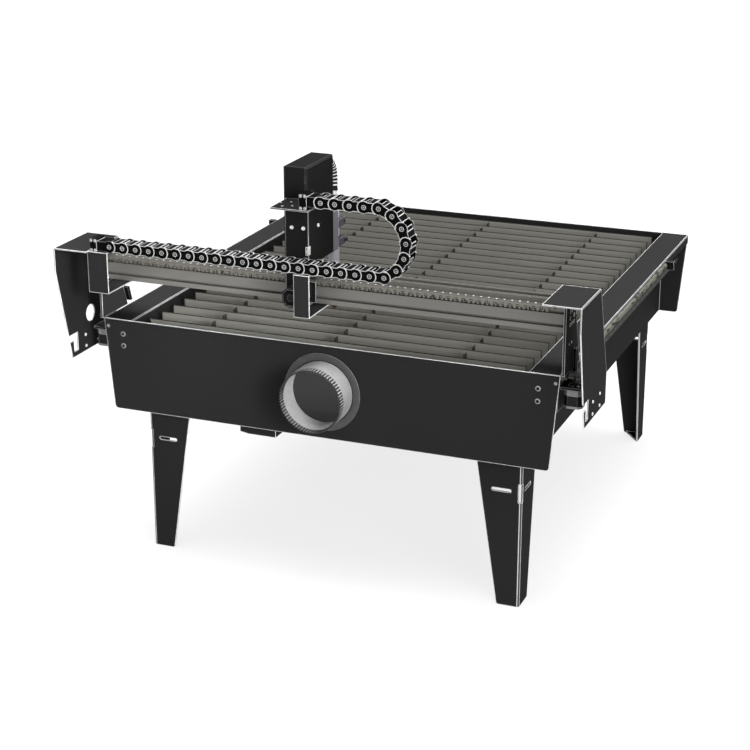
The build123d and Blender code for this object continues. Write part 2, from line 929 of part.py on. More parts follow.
def lift_spine():
    """Upright plate inside the cover with the lift motor's shelf."""
    x = (tower_x[0] + tower_sheet, tower_x[1] - tower_sheet)
    y = (spine_front, spine_front + spine)
    body = block(x, y, (carriage_top, lift_shelf_top))
    half = motor_width / 2
    shelf_x_limits = (tower_middle - half, tower_middle + half)
    shelf_z = (lift_shelf_top - lift_shelf, lift_shelf_top)
    body += block(shelf_x_limits, (y[1], screw_y + half), shelf_z)
    return body - rod("z", (tower_middle, screw_y), motor_pilot_radius + pilot_clearance, *shelf_z)


def lift_rail():
    half = lift_rail_width / 2
    x = (tower_middle - half, tower_middle + half)
    y = (spine_front + spine, spine_front + spine + lift_rail_height)
    return block(x, y, (carriage_top, lift_shelf_top - lift_shelf))


def lift_motor():
    return Pos(tower_middle, screw_y, lift_shelf_top) * Rot(180, 0, 0) * motor(lift_motor_length)


def lift_screw():
    """Screw from below the slide up into the motor."""
    centre = (tower_middle, screw_y)
    low = slide_z[0] - 40
    body = rod("z", centre, screw_radius, low, lift_shelf_top - lift_shelf - 4)
    return body + rod("z", centre, shaft_radius, lift_shelf_top - lift_shelf - 4, lift_shelf_top + motor_bore_depth / 2)


def lift_slide():
    """Slide that rides on the lift rail, carries the nut and reaches out behind the cover."""
    half = slide_width / 2
    x = (tower_middle - half, tower_middle + half)
    rail_root = spine_front + spine
    rail_half = lift_rail_width / 2 + running_gap
    body = block(x, (rail_root + 4, slide_neck_front), slide_z)
    body += block(x, (slide_neck_front, slide_plate_y[0]), slide_neck_z)
    rear = block(x, slide_plate_y, slide_plate_z)
    body += fillet(rear.edges().filter_by(Axis.Z).sort_by(Axis.Y)[-2:], slide_edge)
    groove_y = (rail_root + 4, rail_root + lift_rail_height + running_gap)
    body -= block((tower_middle - rail_half, tower_middle + rail_half), groove_y, slide_z)
    return body - rod("z", (tower_middle, screw_y), screw_radius + shaft_clearance, *slide_z)


# Torch


def torch_clamps():
    """Two split clamps that hold the torch behind the slide."""
    x = (tower_middle - clamp_half_width, tower_middle + clamp_half_width)
    y = (slide_plate_y[1], slide_plate_y[1] + clamp_depth)
    pieces = []
    for low in clamp_bottoms:
        z = (low, low + clamp_height)
        body = block(x, y, z)
        body = fillet(body.edges().filter_by(Axis.Z).sort_by(Axis.Y)[-2:], slide_edge)
        body -= rod("z", (tower_middle, torch_y), torch_radius, *z)
        slit = (tower_middle - clamp_slit / 2, tower_middle + clamp_slit / 2)
        pieces.append(body - block(slit, (torch_y, y[1]), z))
    return pieces


def torch():
    """Machine torch: barrel, stepped head, tapered cup and nozzle tip, turned about its axis."""
    r = torch_radius
    outline = polygon(
        (0, torch_tip),
        (4, torch_tip),
        (12, torch_tip + 12),
        (15, torch_tip + 50),
        (r + 3, torch_tip + 50),
        (r + 3, torch_tip + 98),
        (r, torch_tip + 98),
        (r, torch_tail - 20),
        (r - 4, torch_tail - 20),
        (r - 4, torch_tail),
        (0, torch_tail),
    )
    turned = revolve(Plane.XZ * outline, Axis.Z)
    return Pos(tower_middle, torch_y, 0) * turned


def lead_path():
    """Torch lead's line: up from the tail, round one bend and forward to the cover's back."""
    start = (tower_middle, torch_y, torch_tail)
    bend_start = (tower_middle, torch_y, lead_rise)
    bend_end = (tower_middle, torch_y - lead_bend, lead_entry_z)
    end = (tower_middle, tower_rear, lead_entry_z)
    up = Line(start, bend_start)
    turn = TangentArc(bend_start, bend_end, tangent=(0, 0, 1))
    return up, turn, Line(bend_end, end)


def torch_lead():
    """Ribbed lead with its bore: four rings a rib, plain cuffs at both ends."""
    up, turn, out = lead_path()
    lengths = [up.length, turn.length, out.length]
    total = sum(lengths)

    def ring(at, radius):
        if at <= lengths[0]:
            y, z, angle = torch_y, torch_tail + at, 0.0
        elif at <= lengths[0] + lengths[1]:
            angle = (at - lengths[0]) / lead_bend
            y = torch_y - lead_bend * (1 - cos(angle))
            z = lead_rise + lead_bend * sin(angle)
        else:
            y, z, angle = torch_y - lead_bend - (at - lengths[0] - lengths[1]), lead_entry_z, pi / 2
        along = (0, -sin(angle), cos(angle))
        return Plane((tower_middle, y, z), x_dir=(1, 0, 0), z_dir=along) * Circle(radius)

    valley = lead_radius - lead_rib
    pitch = (total - 2 * lead_cuff) / lead_rib_count
    rings = [ring(0, valley)]
    for i in range(lead_rib_count):
        start = lead_cuff + i * pitch
        for share, radius in ((0.2, valley), (0.4, lead_radius), (0.75, lead_radius), (0.95, valley)):
            rings.append(ring(start + share * pitch, radius))
    rings.append(ring(total, valley))
    body = loft(rings, ruled=True)
    bore = [ring(0, lead_bore), ring(lengths[0], lead_bore)]
    bore += [ring(lengths[0] + lengths[1] * i / 4, lead_bore) for i in range(1, 5)]
    bore.append(ring(total, lead_bore))
    return body - loft(bore, ruled=True)


def build():
    """Every node's pieces in the working frame."""
    front_leg = leg()
    back_leg = rear_of(front_leg)
    wall = side_wall()
    beam = guide_beam()
    rail = guide_rail()
    rack = drive_rack()
    stop = rack_end_stop()
    beam_plate = beam_end_plate()
    bracket = side_bracket()
    bearing = side_bearing_block()
    stepper = side_motor()
    last_lower = chain_lower_links
    last_link = chain_lower_links + chain_bend_links + chain_upper_links
    return {
        "front_panel": front_panel(),
        "rear_panel": rear_panel(),
        "left_side_wall": mirrored(wall),
        "right_side_wall": wall,
        "floor_pan": floor_pan(),
        "duct_collar": duct_collar(),
        "clean_out_tray": clean_out_tray(),
        "slats": slats(),
        "slat_combs": slat_combs(),
        "slat_ledges": slat_ledges(),
        "front_left_leg": mirrored(front_leg),
        "front_right_leg": front_leg,
        "rear_left_leg": mirrored(back_leg),
        "rear_right_leg": back_leg,
        "left_guide_beam": mirrored(beam),
        "right_guide_beam": beam,
        "left_guide_rail": mirrored(rail),
        "right_guide_rail": rail,
        "left_drive_rack": mirrored(rack),
        "right_drive_rack": rack,
        "rack_end_stops": [mirrored(stop), stop],
        "left_end_frame": mirrored(end_frame(True)),
        "right_end_frame": end_frame(False),
        "left_beam_end_plate": mirrored(beam_plate),
        "right_beam_end_plate": beam_plate,
        "gantry_beam": gantry_beam(),
        "left_side_bracket": mirrored(bracket),
        "right_side_bracket": bracket,
        "left_side_bearing": mirrored(bearing),
        "right_side_bearing": bearing,
        "left_side_motor": mirrored(stepper),
        "right_side_motor": stepper,
        "left_side_pinion": side_pinion(-1),
        "right_side_pinion": side_pinion(1),
        "home_switch": home_switch(),
        "cross_rails": cross_rails(),
        "cross_rack": cross_rack(),
        "chain_end_bracket": chain_bracket(end_bracket_x),
        "chain_middle_bracket": chain_bracket(middle_bracket_x),
        "chain_fixed_end": chain_fixed_end(),
        "chain_lower_run": chain_links(0, last_lower),
        "chain_upper_run": chain_links(last_lower, last_link),
        "chain_moving_end": chain_moving_end(),
        "carriage_base": carriage_base(),
        "cross_bearing_blocks": cross_bearing_blocks(),
        "carriage_front_plate": carriage_front_plate(),
        "cross_motor": cross_motor(),
        "cross_pinion": cross_pinion(),
        "tower_cover": tower_cover(),
        "lift_spine": lift_spine(),
        "lift_rail": lift_rail(),
        "lift_motor": lift_motor(),
        "lift_screw": lift_screw(),
        "lift_slide": lift_slide(),
        "torch_clamps": torch_clamps(),
        "torch": torch(),
        "torch_lead": torch_lead(),
    }


os.makedirs("parts", exist_ok=True)
for name, piece in build().items():
    shape = Compound(children=list(piece)) if isinstance(piece, list) else piece
    export_step(to_floor * shape, f"parts/{name}.step")
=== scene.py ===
"""Looks of a CNC plasma cutting table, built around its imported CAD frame."""
from itertools import product
from math import asin, atan2, ceil, cos, floor, pi, radians, sin, tau

import bmesh
import bpy
from mathutils import Matrix, Vector


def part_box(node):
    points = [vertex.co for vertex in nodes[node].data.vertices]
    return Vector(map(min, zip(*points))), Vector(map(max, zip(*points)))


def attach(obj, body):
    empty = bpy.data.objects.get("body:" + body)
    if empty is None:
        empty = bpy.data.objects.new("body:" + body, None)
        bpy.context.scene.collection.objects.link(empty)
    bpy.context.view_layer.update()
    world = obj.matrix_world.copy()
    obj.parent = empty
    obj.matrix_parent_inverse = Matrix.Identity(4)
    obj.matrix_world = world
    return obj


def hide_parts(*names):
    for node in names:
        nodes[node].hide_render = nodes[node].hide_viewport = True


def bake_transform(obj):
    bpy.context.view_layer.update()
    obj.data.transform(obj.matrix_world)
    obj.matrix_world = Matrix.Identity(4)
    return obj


bl_info = {
    "name": "Plasma Table Looks",
    "version": (1, 0, 0),
    "blender": (4, 5, 0),
    "location": "View3D > Sidebar > Plasma Table",
    "description": "Finishes and detail pieces for a CNC plasma cutting table",
    "category": "Object",
}

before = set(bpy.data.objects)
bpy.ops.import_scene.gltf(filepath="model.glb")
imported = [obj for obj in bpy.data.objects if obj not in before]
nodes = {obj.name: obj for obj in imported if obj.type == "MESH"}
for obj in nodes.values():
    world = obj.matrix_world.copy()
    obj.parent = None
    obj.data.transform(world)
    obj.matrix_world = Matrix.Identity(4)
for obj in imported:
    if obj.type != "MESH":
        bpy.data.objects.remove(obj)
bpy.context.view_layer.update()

SHARP = radians(35)
SIDES = (("left", -1), ("right", 1))
X, Y, Z = range(3)


def length_property(name, description, default):
    """Size in metres."""
    return bpy.props.FloatProperty(name=name, description=description, default=default, unit="LENGTH")


def count_property(name, description, default, least):
    """Whole number."""
    return bpy.props.IntProperty(name=name, description=description, default=default, min=least)


def colour_property(name, description, default):
    """Colour as an sRGB hex value."""
    return bpy.props.StringProperty(name=name, description=description, default=default)


class PlasmaTableSizes(bpy.types.PropertyGroup):
    """Sizes of the pieces that are drawn here."""

    chain_pitch: length_property("Chain pitch", "Distance between two chain pivots", 0.0457)
    chain_lower_links: count_property("Lower links", "Links that lie on the brackets", 20, 1)
    chain_bend_links: count_property("Bend links", "Links that make the chain's half turn", 6, 3)
    chain_upper_links: count_property("Upper links", "Links from the half turn to the carriage", 4, 1)
    chain_first_turn: bpy.props.FloatProperty(
        name="First turn",
        description="Slope of the half turn's first link",
        default=radians(34),
        subtype="ANGLE",
    )
    disc_radius: length_property("Link disc", "Radius of a chain link's round end", 0.0188)
    motor_chamfer: length_property("Motor corner", "Width of a motor's cut corner", 0.012)
    panel_bolt: length_property("Panel bolt", "Radius of a panel bolt's head", 0.0050)
    row_pitch: length_property("Screw row", "Distance between screws along the beam", 0.024)
    screw_lead: length_property("Screw lead", "Rise of the lift screw in one turn", 0.010)
    lead_radius: length_property("Lead radius", "Radius over the torch lead's ribs", 0.014)
    rib_pitch: length_property("Rib pitch", "Distance between two ribs of the torch lead", 0.0115)
    crimps: count_property("Crimps", "Crimps round the collar's free end", 66, 12)


class PlasmaTableFinishes(bpy.types.PropertyGroup):
    """Colours, as sRGB hex values."""

    coat: colour_property("Powder coat", "Painted sheet steel", "1e1e1e")
    # Pale edge colour of the coat: a painted edge highlight, partly paint wear
    coat_edge: colour_property("Coat edge", "Rubbed edge of the paint", "cccccc")
    # Lighter than the coat: painted light on the end plates, which lie in shade
    plate: colour_property("Plate coat", "Plates at the beam's ends", "282828")
    tower: colour_property("Tower coat", "Cover of the torch lift", "141414")
    # Lighter than the coat: painted light on the floor pan, which lies in the slats' shade, partly grey dust
    dusted: colour_property("Floor dust", "Dusty floor pan", "262626")
    slat: colour_property("Slat steel", "Hot rolled slat steel", "777670")
    slat_edge: colour_property("Slat edge", "Burnt edge of a slat", "12110f")
    collar: colour_property("Collar zinc", "Galvanised collar", "808080")
    # Lighter than the collar: painted light on the inside of the collar, which lies in shade
    lining_painted_light: colour_property("Collar inside", "Clean zinc inside the collar", "969696")
    flange: colour_property("Flange zinc", "Collar's flange", "2c2c2c")
    # Dark zinc: painted shade in the crimps' grooves, and the colour of the collar's dark rim
    groove: colour_property("Groove", "Sooty grooves of the crimps", "222222")
    profile: colour_property("Profile", "Anodised beam profile", "5f5d59")
    billet: colour_property("Billet", "Lift slide and spine", "5f5c64")
    steel: colour_property("Ground steel", "Bright ground steel", "7c7c7a")
    oxide: colour_property("Black oxide", "Pinions", "34332f")
    phosphate: colour_property("Phosphate", "Cross rack", "5c5a54")
    nylon: colour_property("Chain nylon", "Moulded chain links", "050505")
    # Pale rim colour of the chain: a painted edge highlight, partly wear
    rim: colour_property("Chain rim", "Rubbed rim of a chain link", "9c9c9c")
    # Pale colour of the strips where walls meet panels: a painted highlight along these corners
    seam: colour_property("Weld seam", "Rubbed seam of the walls", "9c9c9c")
    floor: colour_property("Floor", "Studio floor", "595959")


# Node helpers


def linear(hex_colour):
    """sRGB hex value as a linear RGBA colour."""
    parts = [int(hex_colour[i : i + 2], 16) / 255 for i in (0, 2, 4)]
    return [p / 12.92 if p <= 0.04045 else ((p + 0.055) / 1.055) ** 2.4 for p in parts] + [1.0]


def shades(hex_colour, spread):
    """A darker and a lighter neighbour of a colour."""
    base = linear(hex_colour)[:3]
    return [c * (1 - spread) for c in base] + [1.0], [c * (1 + spread) for c in base] + [1.0]


def once(function):
    """Keep the material that a function makes."""
    kept = {}

    def call(*values):
        if values not in kept:
            kept[values] = function(*values)
        return kept[values]

    return call


def add(tree, kind, inputs=None, **settings):
    """Add a node; inputs are values or sockets to link, settings are its own properties."""
    made = tree.nodes.new(kind)
    for key, value in settings.items():
        setattr(made, key, value)
    for key, value in (inputs or {}).items():
        if isinstance(value, bpy.types.NodeSocket):
            tree.links.new(value, made.inputs[key])
        else:
            made.inputs[key].default_value = value
    return made


def maths(tree, operation, first, second):
    """Result of one operation on two values."""
    return add(tree, "ShaderNodeMath", {0: first, 1: second}, operation=operation).outputs[0]


def ranged(tree, value, start, end, low=0.0, high=1.0):
    """Value that goes from low to high while another goes from start to end."""
    inputs = {"Value": value, "From Min": start, "From Max": end, "To Min": low, "To Max": high}
    return add(tree, "ShaderNodeMapRange", inputs).outputs["Result"]


def noise(tree, vector, size, detail):
    """Noise whose spots are about a size across."""
    inputs = {"Vector": vector, "Scale": 1 / size, "Detail": detail}
    return add(tree, "ShaderNodeTexNoise", inputs).outputs["Fac"]


def streaks(tree, place, sizes, detail):
    """Noise with its own size along each axis."""
    drawn = add(tree, "ShaderNodeMapping", {"Vector": place, "Scale": [1 / size for size in sizes]})
    return noise(tree, drawn.outputs["Vector"], 1.0, detail)


def colour_between(tree, share, first, second):
    """Colour between two, by a share."""
    return add(tree, "ShaderNodeMix", {0: share, 6: first, 7: second}, data_type="RGBA").outputs[2]


def own_normal(tree):
    """Normal of the face itself."""
    return add(tree, "ShaderNodeNewGeometry").outputs["Normal"]


def edge_share(tree, radius, strength, start=0.86):
    """How strongly a point lies on an edge, from the bend of a rounded normal, and that normal."""
    rounded_normal = add(tree, "ShaderNodeBevel", {"Radius": radius}, samples=8).outputs["Normal"]
    pair = {0: rounded_normal, 1: own_normal(tree)}
    alike = add(tree, "ShaderNodeVectorMath", pair, operation="DOT_PRODUCT").outputs["Value"]
    return ranged(tree, alike, start, 0.99, strength, 0.0), rounded_normal


def fold_highlight(tree):
    """How strongly a fold gets a painted highlight: pale only along the two lines where it starts."""
    size = add(tree, "ShaderNodeVectorMath", {0: own_normal(tree)}, operation="ABSOLUTE").outputs["Vector"]
    along = add(tree, "ShaderNodeSeparateXYZ", {"Vector": size}).outputs
    flat = maths(tree, "MAXIMUM", maths(tree, "MAXIMUM", along["X"], along["Y"]), along["Z"])
    ramp = add(tree, "ShaderNodeValToRGB", {"Fac": flat})
    stops = ramp.color_ramp.elements
    faint, strong = 0.06, 0.75
    for place, value in ((0.93, faint), (0.95, strong), (0.99, strong)):
        stops.new(place).color = (value, value, value, 1)
    stops[0].color = (faint, faint, faint, 1)
    stops[-1].position = 0.999
    stops[-1].color = (0, 0, 0, 1)
    return ramp.outputs["Color"]


def settled_dust(tree, most):
    """How much dust lies on a face, by how far it faces up."""
    upward = add(tree, "ShaderNodeSeparateXYZ", {"Vector": own_normal(tree)}).outputs["Z"]
    return ranged(tree, upward, 0.0, 1.0, 0.0, most)


def new_finish(name):
    """Empty material, its tree, its shader and its object coordinates."""
    made = bpy.data.materials.new(name)
    made.use_nodes = True
    tree = made.node_tree
    place = add(tree, "ShaderNodeTexCoord").outputs["Object"]
    return made, tree, tree.nodes["Principled BSDF"], place


def complete(tree, shader, colour, rough, bump, normal, metallic=0.0, specular=0.5):
    """Join colour, roughness and relief to a shader: each of the last two is a pattern and two numbers."""
    tree.links.new(colour, shader.inputs["Base Color"])
    pattern, low, high = rough
    tree.links.new(ranged(tree, pattern, 0.0, 1.0, low, high), shader.inputs["Roughness"])
    height, strength, distance = bump
    inputs = {"Height": height, "Strength": strength, "Distance": distance, "Normal": normal}
    tree.links.new(add(tree, "ShaderNodeBump", inputs).outputs["Normal"], shader.inputs["Normal"])
    shader.inputs["Metallic"].default_value = metallic
    shader.inputs["Specular IOR Level"].default_value = specular


# Finishes

# Die and wheel lines, in metres
LINE_WIDTH = 0.0015
LINE_LENGTH = 0.4


@once
def powder_coat(name, hex_colour, edge_hex, edge_strength, above=-1.0):
    """Satin powder coat on folded sheet steel, its edges and folds pale above a height: a painted highlight,
    partly paint wear on the edges.
    """
    made, tree, shader, place = new_finish(name)
    # Dust lies in drifts about 350 mm across
    drifts = noise(tree, place, 0.35, 4.0)
    body = colour_between(tree, drifts, *shades(hex_colour, 0.12))
    edge, normal = edge_share(tree, 0.0040, 1.0, 0.9)
    highlight_and_wear = maths(tree, "MAXIMUM", edge, fold_highlight(tree))
    # The painted highlight on edges and folds, partly paint wear on the edges, breaks up every 20 mm or so
    chips = noise(tree, place, 0.02, 3.0)
    broken = ranged(tree, chips, 0.25, 0.5, 0.75 * edge_strength, edge_strength)
    edged = maths(tree, "MULTIPLY", highlight_and_wear, broken)
    height = add(tree, "ShaderNodeSeparateXYZ", {"Vector": place}).outputs["Z"]
    pale = maths(tree, "MULTIPLY", edged, maths(tree, "GREATER_THAN", height, above))
    colour = colour_between(tree, pale, body, linear(edge_hex))
    # Orange peel is about 2.5 mm from crest to crest
    peel = noise(tree, place, 0.0025, 1.0)
    complete(tree, shader, colour, (drifts, 0.58, 0.72), (peel, 0.10, 0.0005), normal, specular=0.006)
    return made


@once
def hot_rolled_steel(hex_colour, edge_hex):
    """Hot rolled slat steel: grey mill scale, a little brown bloom, edges and tops burnt dark by the arc."""
    made, tree, shader, place = new_finish("hot_rolled_steel")
    # Rolling streaks run along X, about 200 mm long and 8 mm high
    streak = streaks(tree, place, (0.2, 0.05, 0.008), 5.0)
    scale = colour_between(tree, streak, *shades(hex_colour, 0.14))
    # Bloom comes in patches about 90 mm across
    bloom = ranged(tree, noise(tree, place, 0.09, 6.0), 0.58, 0.8, 0.0, 0.22)
    browned = colour_between(tree, bloom, scale, linear("6b5c4d"))
    edge, normal = edge_share(tree, 0.0060, 1.0, 0.95)
    burnt = maths(tree, "MAXIMUM", edge, settled_dust(tree, 1.0))
    colour = colour_between(tree, burnt, browned, linear(edge_hex))
    complete(tree, shader, colour, (streak, 0.55, 0.75), (streak, 0.15, 0.0008), normal, 0.1, 0.1)
    return made


@once
def galvanised_sheet(name, hex_colour, edge_strength=0.4):
    """Hot dipped zinc: faint angular spangle about 9 mm across, each crystal a little lighter or darker."""
    made, tree, shader, place = new_finish(name)
    spangle = add(tree, "ShaderNodeTexVoronoi", {"Vector": place, "Scale": 1 / 0.009}).outputs["Color"]
    grey = add(tree, "ShaderNodeSeparateColor", {"Color": spangle}).outputs
    body = colour_between(tree, grey["Red"], *shades(hex_colour, 0.07))
    # Pale edges: a painted edge highlight
    edge, normal = edge_share(tree, 0.0015, edge_strength)
    colour = colour_between(tree, edge, body, linear("e4e4e4"))
    complete(tree, shader, colour, (grey["Green"], 0.42, 0.58), (grey["Blue"], 0.04, 0.0003), normal, 0.1)
    return made


@once
def drawn_metal(name, hex_colour, axis, metallic, low_rough, high_rough, edge_hex, dust=0.65):
    """Extruded, rolled or ground metal: fine lines along one axis, edges in their own colour, a painted
    highlight partly from wear where it is pale, dust on upper faces.
    """
    made, tree, shader, place = new_finish(name)
    sizes = [LINE_WIDTH] * 3
    sizes[axis] = LINE_LENGTH
    lines = streaks(tree, place, sizes, 3.0)
    body = colour_between(tree, lines, *shades(hex_colour, 0.12))
    edge, normal = edge_share(tree, 0.0016, 0.7)
    edged = colour_between(tree, edge, body, linear(edge_hex))
    colour = colour_between(tree, settled_dust(tree, dust), edged, linear("282724"))
    rough = (lines, low_rough, high_rough)
    complete(tree, shader, colour, rough, (lines, 0.08, 0.0003), normal, metallic, 0.15)
    return made


@once
def rack_painted_tooth_shade(hex_colour):
    """Phosphated rack teeth: grey olive, with dark patches along Y about 40 mm apart as painted shade of the
    teeth, and pale edges as a painted highlight.
    """
    made, tree, shader, place = new_finish("rack_painted_tooth_shade")
    dark, light = shades(hex_colour, 0.12)
    tooth_shade_patches = streaks(tree, place, (0.02, 0.04, 0.02), 3.0)
    body = colour_between(tree, tooth_shade_patches, dark, light)
    edge, normal = edge_share(tree, 0.0016, 0.6)
    edged = colour_between(tree, edge, body, light)
    # Dark patches: painted shade of the teeth
    colour = colour_between(tree, ranged(tree, tooth_shade_patches, 0.50, 0.62), edged, linear("161512"))
    complete(tree, shader, colour, (tooth_shade_patches, 0.55, 0.75), (tooth_shade_patches, 0.08, 0.0003), normal, specular=0.15)
    return made


@once
def anodised_beam(hex_colour):
    """Clear anodised extrusion: die lines along X, and dark cutting dust on its upper faces."""
    made, tree, shader, place = new_finish("anodised_beam")
    lines = streaks(tree, place, (LINE_LENGTH, LINE_WIDTH, LINE_WIDTH), 3.0)
    body = colour_between(tree, lines, *shades(hex_colour, 0.10))
    # Dust gathers in clumps about 12 mm across
    heaped = ranged(tree, noise(tree, place, 0.012, 4.0), 0.2, 0.6, 0.75)
    dust = maths(tree, "MULTIPLY", heaped, settled_dust(tree, 1.0))
    dusted = colour_between(tree, dust, body, linear("3a3936"))
    edge, normal = edge_share(tree, 0.0018, 0.75)
    colour = colour_between(tree, edge, dusted, linear("343332"))
    complete(tree, shader, colour, (lines, 0.40, 0.55), (lines, 0.08, 0.0003), normal, 0.3)
    return made


@once
def moulded_plastic(name, hex_colour, edge_hex=None, edge_strength=0.0):
    """Moulded plastic or rubber: a spark-eroded texture of about 0.8 mm grains, and lighter edges, a painted
    highlight partly from wear.
    """
    made, tree, shader, place = new_finish(name)
    # Faint clouds about 40 mm across
    cloud = noise(tree, place, 0.04, 4.0)
    body = colour_between(tree, cloud, *shades(hex_colour, 0.18))
    edge, normal = edge_share(tree, 0.0016, edge_strength)
    colour = colour_between(tree, edge, body, linear(edge_hex or hex_colour))
    grain = noise(tree, place, 0.0008, 1.0)
    complete(tree, shader, colour, (cloud, 0.42, 0.58), (grain, 0.10, 0.0003), normal, specular=0.012)
    return made


@once
def motor_laminations():
    """Stacked motor sheets under black paint: fine lines across Z, and pale corners, a painted highlight
    partly from wear.
    """
    made, tree, shader, place = new_finish("motor_laminations")
    # The wave repeats every tenth of pi of its scale, which makes pairs of 1 mm sheets
    bands = {"Vector": place, "Scale": 1 / 0.0062, "Distortion": 0.3}
    wave = add(tree, "ShaderNodeTexWave", bands, bands_direction="Z").outputs["Fac"]
    body = colour_between(tree, wave, linear("080808"), linear("121212"))
    edge, normal = edge_share(tree, 0.0016, 0.75)
    colour = colour_between(tree, edge, body, linear("cfcfcf"))
    complete(tree, shader, colour, (wave, 0.40, 0.58), (wave, 0.25, 0.0003), normal, specular=0.2)
    return made


def cast_aluminium():
    """Die cast motor ends: light grey with pale machined edges that carry a painted highlight."""
    return drawn_metal("cast_aluminium", "7c7c7c", Z, 0.35, 0.40, 0.55, "e8e8e8")


def zinc_plate():
    """Bright zinc on screws: pale and smooth."""
    return drawn_metal("zinc_plate", "b4b4b2", Z, 0.35, 0.28, 0.42, "f4f4f4", 0.15)


def dull_zinc():
    """Zinc that has gone dull: mid grey and rough."""
    return drawn_metal("dull_zinc", "7c7c7a", Z, 0.2, 0.45, 0.60, "9c9c9a", 0.5)


def black_oxide():
    """Black oxide on cap screws: dark and faintly oily."""
    return drawn_metal("black_oxide", "080808", Z, 0.0, 0.40, 0.55, "1c1c1c")


def black_abs():
    """Moulded ABS of switches, caps and stops: near black with pale edges, a painted highlight partly from
    wear.
    """
    return moulded_plastic("black_abs", "0e0e0e", "c4c4c4", 0.7)


@once
def studio_floor(hex_colour):
    """Plain pale painted floor with the faintest mottle."""
    made, tree, shader, place = new_finish("studio_floor")
    # The mottle is about 1.5 m across
    cloud = noise(tree, place, 1.5, 2.0)
    tree.links.new(colour_between(tree, cloud, *shades(hex_colour, 0.01)), shader.inputs["Base Color"])
    shader.inputs["Roughness"].default_value = 0.9
    shader.inputs["Specular IOR Level"].default_value = 0.1
    # Lit from below like a light table, so that shadows stay faint
    shader.inputs["Emission Color"].default_value = (1, 1, 1, 1)
    shader.inputs["Emission Strength"].default_value = 0.8
    return made


# Mesh helpers

# For outlines in X and Z with heights along Y, and in Y and Z with heights along X
UPRIGHT = Matrix(((1, 0, 0, 0), (0, 0, 1, 0), (0, 1, 0, 0), (0, 0, 0, 1)))
SIDEWAYS = Matrix(((0, 0, 1, 0), (1, 0, 0, 0), (0, 1, 0, 0), (0, 0, 0, 1)))


def prism(bm, outline, low, high, place=Matrix(), slot=0):
    """Closed prism of an outline in X and Y between two heights."""
    bottom = [bm.verts.new(place @ Vector((x, y, low))) for x, y in outline]
    top = [bm.verts.new(place @ Vector((x, y, high))) for x, y in outline]
    faces = [bm.faces.new(bottom[::-1]), bm.faces.new(top)]
    for i in range(len(outline)):
        j = (i + 1) % len(outline)
        faces.append(bm.faces.new((bottom[i], bottom[j], top[j], top[i])))
    for face in faces:
        face.material_index = slot


def box(bm, low, high):
    """Closed box between two corners."""
    outline = [(low[0], low[1]), (high[0], low[1]), (high[0], high[1]), (low[0], high[1])]
    prism(bm, outline, low[2], high[2])


def skin(bm, rings, slot=0):
    """Faces between rings of as many points; a ring of one point closes an end."""
    count = max(len(ring) for ring in rings)
    for lower, upper in zip(rings, rings[1:]):
        for i in range(count):
            j = (i + 1) % count
            if len(lower) == 1:
                corners = (lower[0], upper[j], upper[i])
            elif len(upper) == 1:
                corners = (lower[i], lower[j], upper[0])
            else:
                corners = (lower[i], lower[j], upper[j], upper[i])
            bm.faces.new(corners).material_index = slot


def lathe(bm, profile, segments, place=Matrix(), slot=0):
    """Turned shape about Z from radius and height pairs; a zero radius closes an end."""
    rings = []
    for radius, height in profile:
        angles = [tau * i / segments for i in range(segments)] if radius > 1e-7 else [0.0]
        ring = [Vector((radius * cos(a), radius * sin(a), height)) for a in angles]
        rings.append([bm.verts.new(place @ point) for point in ring])
    skin(bm, rings, slot)


def lathe_ring(bm, profile, segments, place, slot=0):
    """Turned ring from a closed profile."""
    lathe(bm, profile + profile[:1], segments, place, slot)


def arc(centre, radius, start, end, steps):
    """Points along an arc in a plane."""
    angles = [start + (end - start) * i / steps for i in range(steps + 1)]
    return [(centre[0] + radius * cos(a), centre[1] + radius * sin(a)) for a in angles]


def rounded(width, height, radius, middle=(0, 0), steps=4):
    """Rectangle about a middle with rounded corners."""
    x, y = width / 2 - radius, height / 2 - radius
    points = []
    for i, corner in enumerate(((x, y), (-x, y), (-x, -y), (x, -y))):
        points += arc(corner, radius, i * pi / 2, (i + 1) * pi / 2, steps)
    return [(u + middle[0], v + middle[1]) for u, v in points]


def cut_square(width, chamfer):
    """Square about the origin with cut corners."""
    half = width / 2
    near = half - chamfer
    points = [(half, near), (near, half), (-near, half), (-half, near)]
    return points + [(-x, -y) for x, y in points]


def facing(position, direction):
    """Frame at a position whose Z axis points along a direction."""
    turn = Vector((0, 0, 1)).rotation_difference(Vector(direction)).to_matrix().to_4x4()
    return Matrix.Translation(Vector(position)) @ turn


def outer_face(node, sign):
    """X of a node's outer face on one side."""
    lo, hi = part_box(node)
    return hi.x if sign > 0 else lo.x


def finish_piece(name, bm, materials, bevel=0.0):
    """Mesh object with sharp creases, ready to ride on a body."""
    bmesh.ops.recalc_face_normals(bm, faces=bm.faces)
    mesh = bpy.data.meshes.new(name)
    bm.to_mesh(mesh)
    bm.free()
    for material in materials:
        mesh.materials.append(material)
    mesh.polygons.foreach_set("use_smooth", [True] * len(mesh.polygons))
    mesh.set_sharp_from_angle(angle=SHARP)
    made = bpy.data.objects.new(name, mesh)
    bpy.context.scene.collection.objects.link(made)
    if bevel:
        edges = made.modifiers.new("edge", "BEVEL")
        edges.width = bevel
        edges.segments = 2
        edges.limit_method = "ANGLE"
        edges.angle_limit = radians(50)
    return made


def paint(node, material):
    """Give a CAD node its finish."""
    piece = nodes[node]
    piece.data.materials.clear()
    piece.data.materials.append(material)


